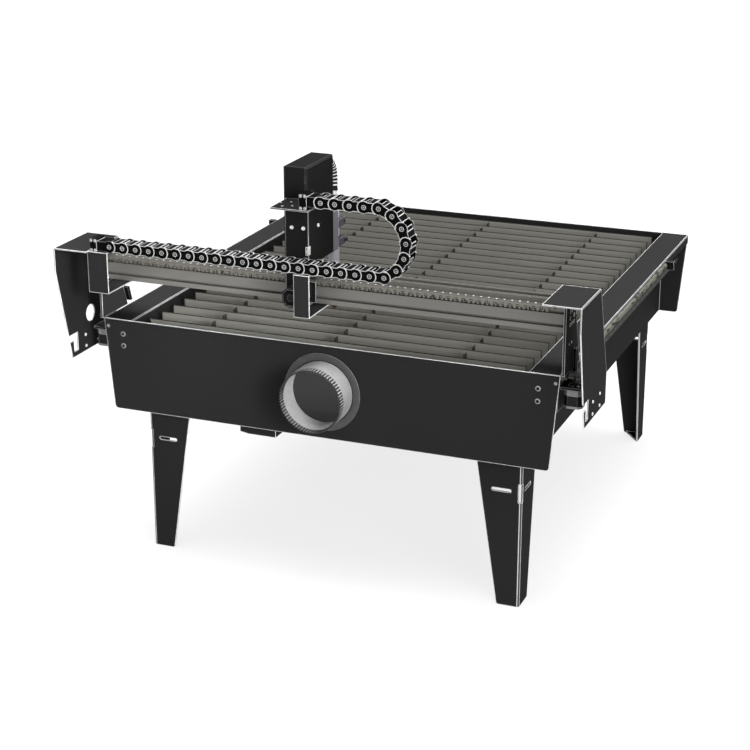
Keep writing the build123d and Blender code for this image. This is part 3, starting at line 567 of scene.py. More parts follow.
def cap_screw(bm, position, direction, radius, washer=0.0):
    """Cap screw head with a round socket in the first material, on a washer in the second."""
    place = facing(position, direction)
    base = 0.0
    if washer:
        base = 0.0012
        lathe(bm, [(0, 0), (washer, 0), (washer, base), (0, base)], 28, place, 1)
    top = base + radius * 0.55
    bottom = top - radius * 0.35
    profile = [(0, base), (radius, base), (radius, top - radius * 0.12), (radius * 0.9, top)]
    profile += [(radius * 0.58, top), (radius * 0.5, bottom), (0, bottom)]
    lathe(bm, profile, 24, place, 0)


# Pieces


class PLASMA_OT_finishes(bpy.types.Operator):
    """Give every CAD piece that shows its finish"""

    bl_idname = "plasma.finishes"
    bl_label = "Finish the CAD pieces"

    def both(self, name):
        """The left and the right node of a name."""
        return [f"{side}_{name}" for side, _ in SIDES]

    def both_legs(self):
        """The legs at both ends of both sides."""
        return [f"{end}_{leg}" for end in ("front", "rear") for leg in self.both("leg")]

    def execute(self, context):
        colours = context.scene.plasma_finishes
        edge = colours.coat_edge
        # Pale edge colour for steel parts: a painted edge highlight
        bright = "c8c8c6"
        sheets = ["front_panel", "rear_panel", "clean_out_tray", "chain_end_bracket", "chain_middle_bracket"]
        sheets += self.both("end_frame") + self.both_legs()
        fronts = ["carriage_front_plate", "carriage_base"]
        # Only the walls' tops get pale edges: a painted highlight, partly paint that the work rubs as it
        # slides over them
        pale_band_depth = 0.012
        wall_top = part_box("front_panel")[1].z - pale_band_depth
        finishes = [
            (powder_coat("powder_coat", colours.coat, edge, 1.0), sheets),
            (powder_coat("wall_coat", colours.coat, edge, 1.0, wall_top), self.both("side_wall")),
            (powder_coat("tower_coat", colours.tower, edge, 0.06), ["tower_cover"]),
            (powder_coat("carriage_coat", colours.tower, edge, 0.45), fronts),
            (powder_coat("bracket_coat", colours.coat, edge, 0.3), self.both("side_bracket")),
            # Floor pan in a lighter coat: painted light where it lies under the slats, partly grey dust
            (powder_coat("floor_pan_dust_and_painted_light", colours.dusted, edge, 0.4), ["floor_pan"]),
            (hot_rolled_steel(colours.slat, colours.slat_edge), ["slats", "slat_ledges"]),
            (anodised_beam(colours.profile), ["gantry_beam"]),
            (rack_painted_tooth_shade("504f48"), self.both("drive_rack")),
            (black_abs(), ["rack_end_stops"]),
        ]
        # Name, colour, axis of the lines, metallic share, lowest and highest roughness, edge colour, nodes
        metals = (
            ("ground_rail_cross", "55534e", X, 0.3, 0.35, 0.5, "77756f", ["cross_rails"]),
            ("phosphated_rack", colours.phosphate, X, 0.1, 0.45, 0.6, "55534c", ["cross_rack"]),
            ("oiled_rail", "171613", Y, 0.0, 0.55, 0.7, "24231f", self.both("guide_rail")),
            ("oxide_steel_side", colours.oxide, Y, 0.2, 0.45, 0.6, "3c3b36", ["cross_pinion"]),
            ("oxide_steel_pinion", colours.oxide, Z, 0.3, 0.35, 0.5, bright, self.both("side_pinion")),
            ("ground_steel_cross", colours.steel, X, 0.5, 0.28, 0.42, bright, ["cross_bearing_blocks"]),
            ("ground_steel_side", colours.steel, Y, 0.5, 0.28, 0.42, bright, self.both("side_bearing")),
            ("ground_steel_lift", colours.steel, Z, 0.5, 0.28, 0.42, bright, ["lift_rail"]),
            ("anodised_guide", colours.profile, Y, 0.3, 0.40, 0.55, "4c4b4a", self.both("guide_beam")),
            ("anodised_billet", colours.billet, Z, 0.3, 0.40, 0.55, "d9d6de", ["lift_slide", "lift_spine"]),
            ("oxide_clamp", "3a373f", Z, 0.2, 0.45, 0.6, "c4c2c8", ["torch_clamps"]),
        )
        finishes += [(drawn_metal(*look), painted) for *look, painted in metals]
        for material, painted in finishes:
            for node in painted:
                paint(node, material)
        return {"FINISHED"}


# Half height and thickness of a link's plates, and the gap between a disc and the hollow round it
LINK_HALF = 0.015
LINK_PLATE = 0.0034
LINK_GAP = 0.0010
# How far joined parts of a link reach into each other
OVERLAP = 0.0002
# How far a bar's pale lip lies below its top
LIP_DEPTH = 0.0004
CLAMP_LENGTH = 0.024
# The chain's materials, in order; the pale rim strips and lips are painted highlights, partly wear
NYLON, PIN, RIM, SCUFF_AND_HIGHLIGHT = range(4)


def chain_pivots(sizes):
    """Pivot points in X and Z from the fixed end, round the bend, to the moving end."""
    lo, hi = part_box("chain_lower_run")
    radius = (hi.z - lo.z) / 2
    z = (lo.z + hi.z) / 2
    pitch = sizes.chain_pitch
    points = [(lo.x + radius + pitch * i, z) for i in range(sizes.chain_lower_links + 1)]
    turn = (pi - sizes.chain_first_turn) / sizes.chain_bend_links
    for i in range(sizes.chain_bend_links):
        slope = sizes.chain_first_turn + turn * i
        points.append((points[-1][0] + pitch * cos(slope), points[-1][1] + pitch * sin(slope)))
    for _ in range(sizes.chain_upper_links):
        points.append((points[-1][0] - pitch, points[-1][1]))
    return points


def disc_lean(sizes):
    """Angle at which a disc meets its neck."""
    return pi - asin(LINK_HALF / sizes.disc_radius)


def round_end(sizes, x):
    """Disc at the far end of a link, from its lower to its upper neck."""
    return arc((x, 0), sizes.disc_radius, -disc_lean(sizes), disc_lean(sizes), 28)


def turned(points, way):
    """Points as they are, or mirrored in X."""
    return [(way * x, z) for x, z in points]


def hollow_end(sizes, way):
    """Hollow that turns on a disc at the origin, from its upper to its lower tip, on one side of it."""
    reach = sizes.disc_radius + LINK_GAP
    lean = asin(LINK_HALF / reach)
    return turned(arc((0, 0), reach, lean, -lean, 10), way)


def both_plates(bm, outline, front, rear, proud=0.0, thick=LINK_PLATE, slot=NYLON):
    """The same outline at the front and at the rear of a link, standing proud of its faces."""
    prism(bm, outline, front - proud, front + thick, UPRIGHT, slot)
    prism(bm, outline, rear - thick, rear + proud, UPRIGHT, slot)


def chain_bars(bm, spans, front, rear):
    """Cross bars above and below: for each span along X, how far it lies below the top, and its material."""
    thick = 0.0030
    near, far = front + LINK_PLATE - OVERLAP, rear - LINK_PLATE + OVERLAP
    for low, high, below, slot in spans:
        for way in (-1, 1):
            outer, inner = way * (LINK_HALF - below), way * (LINK_HALF - below - thick)
            prism(bm, [(low, inner), (high, inner), (high, outer), (low, outer)], near, far, UPRIGHT, slot)


def chain_rim(bm, sizes, x, start, front, rear):
    """Pale rim above and below, a painted highlight partly from wear: over the disc at x, and along the neck
    from a start.
    """
    wide, first, last = 0.0009, radians(62), disc_lean(sizes)
    near, far = sizes.disc_radius - wide, sizes.disc_radius + OVERLAP
    over = arc((x, 0), near, first, last, 8) + arc((x, 0), far, last, first, 8)
    end = x + sizes.disc_radius * cos(last)
    low, high = LINK_HALF - wide, LINK_HALF + OVERLAP
    neck = [(start, low), (end, low), (end, high), (start, high)]
    for band, way in product((over, neck), (-1, 1)):
        both_plates(bm, [(u, way * v) for u, v in band], front, rear, 0.0003, 0.0006, RIM)


def chain_lip(bm, sizes, way, front, rear):
    """Pale lip round the hollow that turns on a disc at the origin: a painted highlight, partly wear."""
    near = sizes.disc_radius + LINK_GAP * 0.6
    far = near + 0.0019
    sweep = asin(sizes.disc_radius * 0.98 / far)
    band = arc((0, 0), near, -sweep, sweep, 16) + arc((0, 0), far, sweep, -sweep, 16)
    both_plates(bm, turned(band, way), front, rear, 0.0004, LINK_PLATE, RIM)


def chain_pin(bm, x, front, rear):
    """Ringed pin on both faces of a disc."""
    proud = 0.0004
    for y, way in ((front, -1), (rear, 1)):
        place = facing((x, y, 0), (0, way, 0))
        ring = [(0.0052, 0), (0.0072, 0), (0.0072, proud)]
        ring += [(0.0068, 0.0010), (0.0056, 0.0010), (0.0052, proud)]
        lathe_ring(bm, ring, 24, place, PIN)
        lathe(bm, [(0, 0), (0.0021, 0), (0.0021, proud), (0, 0.0007)], 14, place, PIN)


def chain_link_mesh(sizes, front, rear):
    """One open link along X: hollow at its first pivot, disc at its second, cross bars between."""
    bm = bmesh.new()
    pitch = sizes.chain_pitch
    both_plates(bm, round_end(sizes, pitch) + hollow_end(sizes, 1), front, rear)
    # Black bar between two pale lips, then a lower one with a pale seam up to the next link: the pale strips
    # are painted highlights, partly wear
    first, last, lip, neck = 0.0155, 0.0325, 0.0022, 0.0150
    seam = pitch - 0.0010
    spans = [(first, last, 0.0, NYLON)]
    spans += [(first - lip, first, LIP_DEPTH, SCUFF_AND_HIGHLIGHT), (last, last + lip, LIP_DEPTH, SCUFF_AND_HIGHLIGHT)]
    spans += [(last + lip, seam, 0.0016, NYLON), (seam, pitch + 0.0006, 0.0012, SCUFF_AND_HIGHLIGHT)]
    chain_bars(bm, spans, front, rear)
    chain_lip(bm, sizes, 1, front, rear)
    chain_rim(bm, sizes, pitch, neck, front, rear)
    chain_pin(bm, pitch, front, rear)
    mesh = bpy.data.meshes.new("chain_link")
    bmesh.ops.recalc_face_normals(bm, faces=bm.faces)
    bm.to_mesh(mesh)
    bm.free()
    return mesh


class PLASMA_OT_chain(bpy.types.Operator):
    """Cable chain, with the clamps at its two ends"""

    bl_idname = "plasma.chain"
    bl_label = "Cable chain"

    def clamp(self, sizes, materials, node, body, pivot, front, rear, fixed):
        """Clamp with four screws, and a neck that ends in a disc or in a hollow."""
        lo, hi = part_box(node)
        edge = lo.x + CLAMP_LENGTH
        corner, sunk, pale_lip = 0.0012, 0.0005, 0.003
        bm = bmesh.new()
        middle = ((lo.x + edge) / 2, (lo.z + hi.z) / 2)
        prism(bm, rounded(CLAMP_LENGTH, hi.z - lo.z, corner, middle), lo.y, hi.y, UPRIGHT)
        before = len(bm.verts)
        neck = edge - pivot[0] - sunk
        if fixed:
            last = 0.0
            outline = round_end(sizes, 0) + [(neck, LINK_HALF), (neck, -LINK_HALF)]
            chain_pin(bm, 0, front, rear)
        else:
            last = -0.014
            outline = [(neck, -LINK_HALF)] + hollow_end(sizes, -1)[::-1] + [(neck, LINK_HALF)]
            chain_lip(bm, sizes, -1, front, rear)
        both_plates(bm, outline, front, rear)
        bar = neck + pale_lip
        chain_bars(bm, [(neck, bar, LIP_DEPTH, SCUFF_AND_HIGHLIGHT), (bar, last, 0.0, NYLON)], front, rear)
        bm.verts.ensure_lookup_table()
        bmesh.ops.translate(bm, vec=(pivot[0], 0, pivot[1]), verts=bm.verts[before:])
        inset = 0.0052
        head = [(0, -0.0002), (0.0045, -0.0002), (0.0045, 0.0008), (0.0039, 0.0012), (0, 0.0012)]
        for x, z in product((lo.x + inset, edge - inset), (lo.z + inset, hi.z - inset)):
            lathe(bm, head, 20, facing((x, lo.y, z), (0, -1, 0)), PIN)
        piece = finish_piece(f"{node}_clamp", bm, materials)
        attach(piece, body)
        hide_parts(node)

    def execute(self, context):
        sizes = context.scene.plasma_sizes
        colours = context.scene.plasma_finishes
        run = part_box("chain_lower_run")
        inset = 0.0011
        front, rear = run[0].y + inset, run[1].y - inset
        link = chain_link_mesh(sizes, front, rear)
        pivots = chain_pivots(sizes)
        # Near black nylon, pale on its edges: a painted highlight, partly wear from bending
        nylon = moulded_plastic("chain_nylon", colours.nylon, colours.rim, 0.75)
        rim = moulded_plastic("nylon_rim_highlight", colours.rim)
        materials = [nylon, dull_zinc(), rim, moulded_plastic("nylon_scuff_and_highlight", "949494")]
        lower = sizes.chain_lower_links
        bend = lower + sizes.chain_bend_links
        # Shares of the carriage's travel along the chain's line
        bend_share, upper_share = 0.70, 0.86
        groups = []
        step = 5
        for first in range(0, lower, step):
            last = min(first + step, lower)
            groups.append((first, last, bend_share * first / lower, bend_share * last / lower))
        groups.append((lower, bend, bend_share, upper_share))
        groups.append((bend, bend + sizes.chain_upper_links, upper_share, 1.0))
        for number, (first, last, share_first, share_last) in enumerate(groups):
            bm = bmesh.new()
            for (x0, z0), (x1, z1) in zip(pivots[first:last], pivots[first + 1 :]):
                place = Matrix.Translation((x0, 0, z0)) @ Matrix.Rotation(-atan2(z1 - z0, x1 - x0), 4, "Y")
                before = len(bm.verts)
                bm.from_mesh(link)
                bm.verts.ensure_lookup_table()
                bmesh.ops.transform(bm, matrix=place, verts=bm.verts[before:])
            piece = finish_piece(f"chain_links_{number}", bm, materials)
            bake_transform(piece)
            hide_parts("chain_lower_run" if last <= lower else "chain_upper_run")
        bpy.data.meshes.remove(link)
        self.clamp(sizes, materials, "chain_fixed_end", "gantry", pivots[0], front, rear, True)
        self.clamp(sizes, materials, "chain_moving_end", "carriage", pivots[-1], front, rear, False)
        return {"FINISHED"}


class PLASMA_OT_motors(bpy.types.Operator):
    """The four stepper motors"""

    bl_idname = "plasma.motors"
    bl_label = "Motors"

    def motor(self, name, node, axis, way, body, bell, rear_bell, bell_finish):
        """Cast ends, laminated middle, corner screws and a cable socket in place of a CAD motor."""
        chamfer = bpy.context.scene.plasma_sizes.motor_chamfer
        lo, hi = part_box(node)
        pilot = 0.0016
        width = min(hi[i] - lo[i] for i in (X, Y, Z) if i != axis)
        face = (lo + hi) / 2
        face[axis] = hi[axis] - pilot if way > 0 else lo[axis] + pilot
        length = hi[axis] - lo[axis] - pilot
        direction = Vector((0, 0, 0))
        direction[axis] = way
        place = facing(face, direction)
        bm = bmesh.new()
        ends = cut_square(width, chamfer)
        cap, sheet_step, cap_step = 0.0022, 0.0016, 0.008
        seat = cap / 2 - length
        prism(bm, ends, -bell, 0, place, 1)
        prism(bm, cut_square(width - sheet_step, chamfer), rear_bell - length, -bell, place, 0)
        prism(bm, ends, cap - length, rear_bell - length, place, 1)
        prism(bm, cut_square(width - cap_step, chamfer), seat, cap - length, place, 1)
        boss = [(0, -length), (0.0095, -length), (0.0105, 0.0006 - length), (0.0105, seat), (0, seat)]
        lathe(bm, boss, 28, place, 2)
        lathe_ring(bm, [(0.011, 0), (0.019, 0), (0.019, pilot), (0.011, pilot)], 40, place, 1)
        reach = (width / 2 - 0.0075) * 0.93
        screw = 0.0024
        for x, y in product((-reach, reach), repeat=2):
            spot = place @ Matrix.Translation((x, y, seat)) @ Matrix.Rotation(pi, 4, "X")
            lathe(bm, [(0, 0), (screw, 0), (screw, screw * 0.4), (0, screw * 0.45)], 16, spot, 2)
        # Cable socket on the side of the rear end
        socket = (0, width / 2 - 0.0005, rear_bell / 2 - length)
        side = Matrix.Translation(socket) @ Matrix.Rotation(-pi / 2, 4, "X")
        prism(bm, rounded(0.016, min(0.006, rear_bell * 0.8), 0.0012), 0, 0.004, place @ side, 0)
        materials = [motor_laminations(), bell_finish, black_oxide()]
        piece = finish_piece(name, bm, materials, 0.0006)
        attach(piece, body)
        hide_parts(node)

    def execute(self, context):
        for side, _ in SIDES:
            node = f"{side}_side_motor"
            self.motor(f"{side}_stepper", node, Z, 1, "gantry", 0.018, 0.009, cast_aluminium())
        self.motor("cross_stepper", "cross_motor", Y, 1, "carriage", 0.014, 0.010, black_abs())
        self.motor("lift_stepper", "lift_motor", Z, -1, "carriage", 0.014, 0.012, cast_aluminium())
        return {"FINISHED"}


class PLASMA_OT_collar(bpy.types.Operator):
    """Galvanised duct collar with its flange and crimped end"""

    bl_idname = "plasma.collar"
    bl_label = "Duct collar"

    def execute(self, context):
        crimps = context.scene.plasma_sizes.crimps
        colours = context.scene.plasma_finishes
        lo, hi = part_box("duct_collar")
        middle = (lo + hi) / 2
        place = facing((middle.x, hi.y, middle.z), (0, -1, 0))
        flange = (hi.x - lo.x) / 2
        flange_width, crimp_length = 0.0254, 0.030
        tube = flange - flange_width
        wall, root, segments = 0.0012, 0.0002, 96
        bore = tube - wall
        end = hi.y - lo.y
        crimped = end - crimp_length
        seam = tube + 0.0034
        bm = bmesh.new()
        # Flange with the dark bead of sealant where the tube is tabbed into it
        ring = [(seam, 0), (flange, 0), (flange, 0.0009), (flange - 0.0005, wall), (seam, wall)]
        lathe_ring(bm, ring, segments, place, 1)
        bead = [(bore, 0), (seam, 0), (seam, wall * 0.9), (bore, wall * 0.9)]
        lathe_ring(bm, bead, segments, place, 4)
        lathe(bm, [(bore, root), (tube, root), (tube, crimped)], segments, place, 0)
        # The inside, in the lighter zinc: painted light where the tube lies in shade
        lathe(bm, [(tube, crimped), (bore, crimped), (bore, root)], segments, place, 3)

        depth, slope, rim = 0.0034, 0.006, 0.0050
        # Share of a crimp at which it turns, and how deep it lies there
        turns = ((0.00, 0), (0.42, 0), (0.54, 1), (0.88, 1))
        # Height along the tube, and how far the crimps have grown there
        stations = ((crimped, 0.0), (crimped + slope, 1.0), (end - rim, 1.0), (end, 1.0))

        def corrugation(outer):
            """Rings of points along the crimped end."""
            rings = []
            for height, share in stations:
                points = []
                for i, (turn, deep) in product(range(crimps), turns):
                    angle = tau * (i + turn) / crimps
                    radius = outer - depth * share * deep
                    points.append(place @ Vector((radius * cos(angle), radius * sin(angle), height)))
                rings.append([bm.verts.new(point) for point in points])
            return rings

        outside, inside = corrugation(tube), corrugation(bore)
        count = len(outside[0])
        loop = outside + inside[::-1] + outside[:1]
        # The dark rim goes from the last ring outside to the first inside; it and the crimps' grooves take
        # the dark zinc, painted shade in the grooves
        dark_rim = range(len(stations) - 2, len(stations) + 1)
        for k, (near, far) in enumerate(zip(loop, loop[1:])):
            for i in range(count):
                j = (i + 1) % count
                face = bm.faces.new((near[i], near[j], far[j], far[i]))
                face.material_index = 2 if k in dark_rim or i % len(turns) else 0
        materials = [
            galvanised_sheet("galvanised_tube", colours.collar),
            galvanised_sheet("galvanised_flange", colours.flange),
            galvanised_sheet("zinc_groove_shade_and_rim", colours.groove, 0.0),
            galvanised_sheet("galvanised_lining_painted_light", colours.lining_painted_light),
            moulded_plastic("joint_sealant", "101010"),
        ]
        piece = finish_piece("crimped_duct_collar", bm, materials)
        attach(piece, "table")
        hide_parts("duct_collar")
        return {"FINISHED"}


class PLASMA_OT_fasteners(bpy.types.Operator):
    """Bolts and screws, one piece for each place that they hold"""

    bl_idname = "plasma.fasteners"
    bl_label = "Fasteners"

    def group(self, name, body, heads, radius, material, washer=0.0, ring=None):
        """Cap screws of one kind on one body."""
        bm = bmesh.new()
        for position, direction in heads:
            cap_screw(bm, position, direction, radius, washer)
        piece = finish_piece(name, bm, [material, ring or zinc_plate()])
        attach(piece, body)

    def table_bolts(self, head):
        """Guide beam bolts and accessory screws on both panels."""
        washer, screw, screw_x = 0.0084, 0.0048, 0.748
        screw_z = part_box("front_panel")[1].z - 0.025
        faces = (("front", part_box("front_panel")[0].y, -1), ("rear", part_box("rear_panel")[1].y, 1))
        for name, y, way in faces:
            bolts, screws = [], []
            for side, sign in SIDES:
                lo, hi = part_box(f"{side}_guide_beam")
                # One bolt in each core of the beam
                bolts += [(((lo.x + hi.x) / 2, y, hi.z - core), (0, way, 0)) for core in (0.020, 0.060)]
                screws.append(((sign * screw_x, y, screw_z), (0, way, 0)))
            self.group(f"{name}_panel_bolts", "table", bolts, head, black_oxide(), washer, dull_zinc())
            self.group(f"{name}_accessory_screws", "table", screws, screw, dull_zinc())

    def gantry_bolts(self):
        """Bolts of the end plates, the cheeks and the chain's brackets."""
        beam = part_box("gantry_beam")
        middle = (beam[0] + beam[1]) / 2
        core = 0.020
        ends, small, buttons, feet = [], [], [], []
        for side, sign in SIDES:
            plate = f"{side}_beam_end_plate"
            outer, front = outer_face(plate, sign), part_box(plate)[0].y
            for dy, dz in product((-core, 0, core), repeat=2):
                if dy or dz:
                    ends.append(((outer, middle.y + dy, middle.z + dz), (sign, 0, 0)))
            # Two screws below the beam
            below = beam[0].z - 0.039
            small += [((outer, front + dy, below), (sign, 0, 0)) for dy in (0.0375, 0.062)]
            # Buttons on both faces of the cheek's sheet
            cheek = f"{side}_end_frame"
            outer, low, sheet = outer_face(cheek, sign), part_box(cheek)[0], 0.004
            for dy, dz in product((0.158, 0.236), (0.017, 0.055)):
                y, z = low.y + dy, low.z + dz
                buttons += [((outer, y, z), (sign, 0, 0)), ((outer - sign * sheet, y, z), (-sign, 0, 0))]
        for name in ("chain_end_bracket", "chain_middle_bracket"):
            lo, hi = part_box(name)
            feet += [(((lo.x + hi.x) / 2, y, lo.z), (0, 0, -1)) for y in (beam[0].y + core, beam[1].y - core)]
        self.group("beam_end_bolts", "gantry", ends, 0.0032, black_oxide(), 0.0056)
        self.group("end_plate_screws", "gantry", small, 0.0032, zinc_plate())
        self.group("cheek_buttons", "gantry", buttons, 0.0050, zinc_plate())
        self.group("chain_bracket_bolts", "gantry", feet, 0.0055, black_oxide(), 0.0085)

    def carriage_bolts(self):
        """Bolts of the front plate, tower and shelf, placed as in the photo, and the motor's screws."""
        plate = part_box("carriage_front_plate")
        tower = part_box("tower_cover")
        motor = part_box("cross_motor")
        bolt, pilot = 0.0058, 0.0016
        front = motor[1].y - pilot
        middle = (tower[0].x + tower[1].x) / 2
        height = tower[0].z + 0.125
        bolts = [((middle + dx, front, height), (0, -1, 0)) for dx in (-0.0095, 0.029)]
        self.group("front_plate_bolts", "carriage", bolts, bolt, zinc_plate())
        y, z = tower[0].y + 0.081, height - 0.010
        sides = [((corner.x, y, z), (way, 0, 0)) for corner, way in zip(tower, (-1, 1))]
        self.group("tower_bolts", "carriage", sides, bolt, zinc_plate())
        centre = Vector((plate[0].x + 0.0365, plate[0].y + 0.051, plate[1].z))
        spots = ((-0.025, 0.011), (0.002, 0.028), (0.024, -0.013), (-0.003, -0.027))
        shelf = [(centre + Vector((dx, dy, 0)), (0, 0, 1)) for dx, dy in spots]
        self.group("shelf_screws", "carriage", shelf, 0.0034, dull_zinc())
        centre = (motor[0] + motor[1]) / 2
        reach = 0.0236
        spots = product((-reach, reach), repeat=2)
        corners = [((centre.x + dx, plate[1].y, centre.z + dz), (0, 1, 0)) for dx, dz in spots]
        self.group("cross_motor_screws", "carriage", corners, 0.0042, zinc_plate())

    def slide_bolts(self):
        """Pinch bolts of the torch clamps and the slide's own bolts."""
        lo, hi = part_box("torch_clamps")
        half = 0.013
        clamps = [((hi.x, hi.y - 0.012, z), (1, 0, 0)) for z in (lo.z + half, hi.z - half)]
        self.group("clamp_bolts", "torch_slide", clamps, 0.0046, black_oxide())
        lo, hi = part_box("lift_slide")
        inset = 0.012
        spots = product((lo.x + inset, hi.x - inset), (hi.z - 0.040, hi.z - 0.070))
        bolts = [((x, hi.y, z), (0, 1, 0)) for x, z in spots]
        self.group("slide_bolts", "torch_slide", bolts, 0.0040, zinc_plate())

    def execute(self, context):
        self.table_bolts(context.scene.plasma_sizes.panel_bolt)
        self.gantry_bolts()
        self.carriage_bolts()
        self.slide_bolts()
        return {"FINISHED"}


class PLASMA_OT_catch(bpy.types.Operator):
    """Small zinc catch between the front plate and the tower"""

    bl_idname = "plasma.catch"
    bl_label = "Cover catch"

    def execute(self, context):
        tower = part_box("tower_cover")
        front = tower[0].y - 0.005
        wide, tall, thick = 0.0095, 0.027, 0.0024
        x, z = tower[1].x + 0.0015, tower[0].z + 0.0545
        bm = bmesh.new()
        prism(bm, rounded(wide, tall, 0.0012, (x, z)), front - thick, front, UPRIGHT)
        arm = rounded(0.002, tall, 0.0006, (x + wide / 2 - 0.001, z))
        prism(bm, arm, front - 0.0020, tower[0].y + 0.010, UPRIGHT)
        apart = 0.008
        for dz in (-apart, apart):
            screw = facing((x - 0.0008, front - thick, z + dz), (0, -1, 0))
            lathe(bm, [(0, 0), (0.0022, 0), (0.0018, 0.0010), (0, 0.0010)], 16, screw, 1)
        piece = finish_piece("cover_catch", bm, [zinc_plate(), black_oxide()], 0.0004)
        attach(piece, "carriage")
        return {"FINISHED"}


class PLASMA_OT_rail_screws(bpy.types.Operator):
    """Rows of screws along the beam, its rails and the guide rails"""

    bl_idname = "plasma.rail_screws"
    bl_label = "Rail screws"

    def row(self, name, body, starts, step, count, direction, radius, ring_finish=None):
        """Screws at even steps: with a ring finish they are sunk, a dark ring with a lighter head in it."""
        bm = bmesh.new()
        sunk, proud, shoulder = -0.0005, 0.0009, radius * 0.8
        head = [(0, 0), (radius, 0), (radius, 0.0005), (shoulder, proud), (0, proud)]
        ring = [(0, sunk), (radius, sunk), (radius, 0.0002), (shoulder, 0.0002), (radius * 0.78, 0), (0, 0)]
        inner = [(0, 0), (radius * 0.55, 0), (radius * 0.55, 0.0001), (0, 0.0001)]
        for start, i in product(starts, range(count)):
            place = facing(Vector(start) + Vector(step) * i, direction)
            if ring_finish:
                lathe(bm, ring, 20, place, 0)
                lathe(bm, inner, 16, place, 1)
            else:
                lathe(bm, head, 16, place, 0)
        edged = drawn_metal("oxide_screw", "6e6c66", Z, 0.3, 0.35, 0.5, "8a8882", 0.0)
        piece = finish_piece(name, bm, [ring_finish, edged] if ring_finish else [zinc_plate()])
        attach(piece, body)

    def spaced(self, low, high, pitch):
        """First place and count of an even row between two ends."""
        margin = 0.012
        count = floor((high - low - 2 * margin) / pitch) + 1
        return (low + high) / 2 - pitch * (count - 1) / 2, count

    def rack_joints(self, rack):
        """Dark joints between the lengths of the cross rack."""
        joint, wide, proud, clear = 0.0995, 0.0030, 0.0003, 0.004
        lo, hi = rack
        bm = bmesh.new()
        for i in range(floor((hi.x - lo.x) / joint)):
            x = lo.x + joint * (i + 1)
            box(bm, (x, lo.y - proud, lo.z), (x + wide, lo.y + proud, hi.z - clear))
        piece = finish_piece("cross_rack_joints", bm, [black_oxide()])
        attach(piece, "gantry")

    def execute(self, context):
        pitch = context.scene.plasma_sizes.row_pitch
        along, up = (pitch, 0, 0), (0, 0, 1)
        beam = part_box("gantry_beam")
        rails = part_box("cross_rails")
        half = 0.0075
        grey_ring = drawn_metal("oxide_ring", "3a3834", Z, 0.2, 0.45, 0.6, "3a3834", 0.0)
        first, count = self.spaced(rails[0].x, rails[1].x, pitch)
        starts = [(first, y, rails[1].z) for y in (rails[0].y + half, rails[1].y - half)]
        self.row("cross_rail_screws", "gantry", starts, along, count, up, 0.0042, grey_ring)
        starts = [(first, beam[0].y + 0.0055, beam[1].z)]
        self.row("beam_edge_screws", "gantry", starts, along, count, up, 0.0030)
        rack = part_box("cross_rack")
        first, count = self.spaced(rack[0].x, rack[1].x, pitch)
        starts = [(first, rack[0].y, rack[1].z - 0.0065)]
        self.row("cross_rack_screws", "gantry", starts, along, count, (0, -1, 0), 0.0046, black_oxide())
        self.rack_joints(rack)
        pitch = 0.060
        for side, sign in SIDES:
            rail = f"{side}_guide_rail"
            lo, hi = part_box(rail)
            first, count = self.spaced(lo.y, hi.y, pitch)
            starts, out = [(outer_face(rail, sign), first, (lo.z + hi.z) / 2)], (sign, 0, 0)
            self.row(f"{side}_rail_screws", "table", starts, (0, pitch, 0), count, out, 0.0046, black_oxide())
        return {"FINISHED"}


class PLASMA_OT_lift_screw(bpy.types.Operator):
    """Threaded lift screw"""

    bl_idname = "plasma.lift_screw"
    bl_label = "Lift screw"

    def execute(self, context):
        lead = context.scene.plasma_sizes.screw_lead
        lo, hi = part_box("lift_screw")
        x, y = (lo.x + hi.x) / 2, (lo.y + hi.y) / 2
        crest = (hi.x - lo.x) / 2
        depth, shank = 0.0011, 0.004
        root = crest - depth
        neck = hi.z - 0.018
        segments, rise, starts = 32, 0.0008, 2
        steps = ceil((neck - lo.z) / rise)
        bm = bmesh.new()
        rings = []
        for k in range(steps + 1):
            z = lo.z + (neck - lo.z) * k / steps
            ring = []
            for i in range(segments):
                angle = tau * i / segments
                phase = (starts * (z / lead - angle / tau)) % 1.0
                # Flat crest and root with steep flanks between
                lift = min(1.0, max(0.0, 1.8 - abs(phase - 0.5) * 6.0))
                radius = root + (crest - root) * lift
                ring.append(bm.verts.new((x + radius * cos(angle), y + radius * sin(angle), z)))
            rings.append(ring)
        skin(bm, rings)
        bm.faces.new(rings[0][::-1])
        bm.faces.new(rings[-1])
        foot = neck - 0.0004
        lathe(bm, [(0, foot), (shank, foot), (shank, hi.z), (0, hi.z)], 24, Matrix.Translation((x, y, 0)))
        steel = drawn_metal("rolled_screw", "9d9d9b", Z, 0.6, 0.25, 0.38, "d8d8d8")
        piece = finish_piece("threaded_lift_screw", bm, [steel])
        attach(piece, "lift_screw")
        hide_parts("lift_screw")
        return {"FINISHED"}


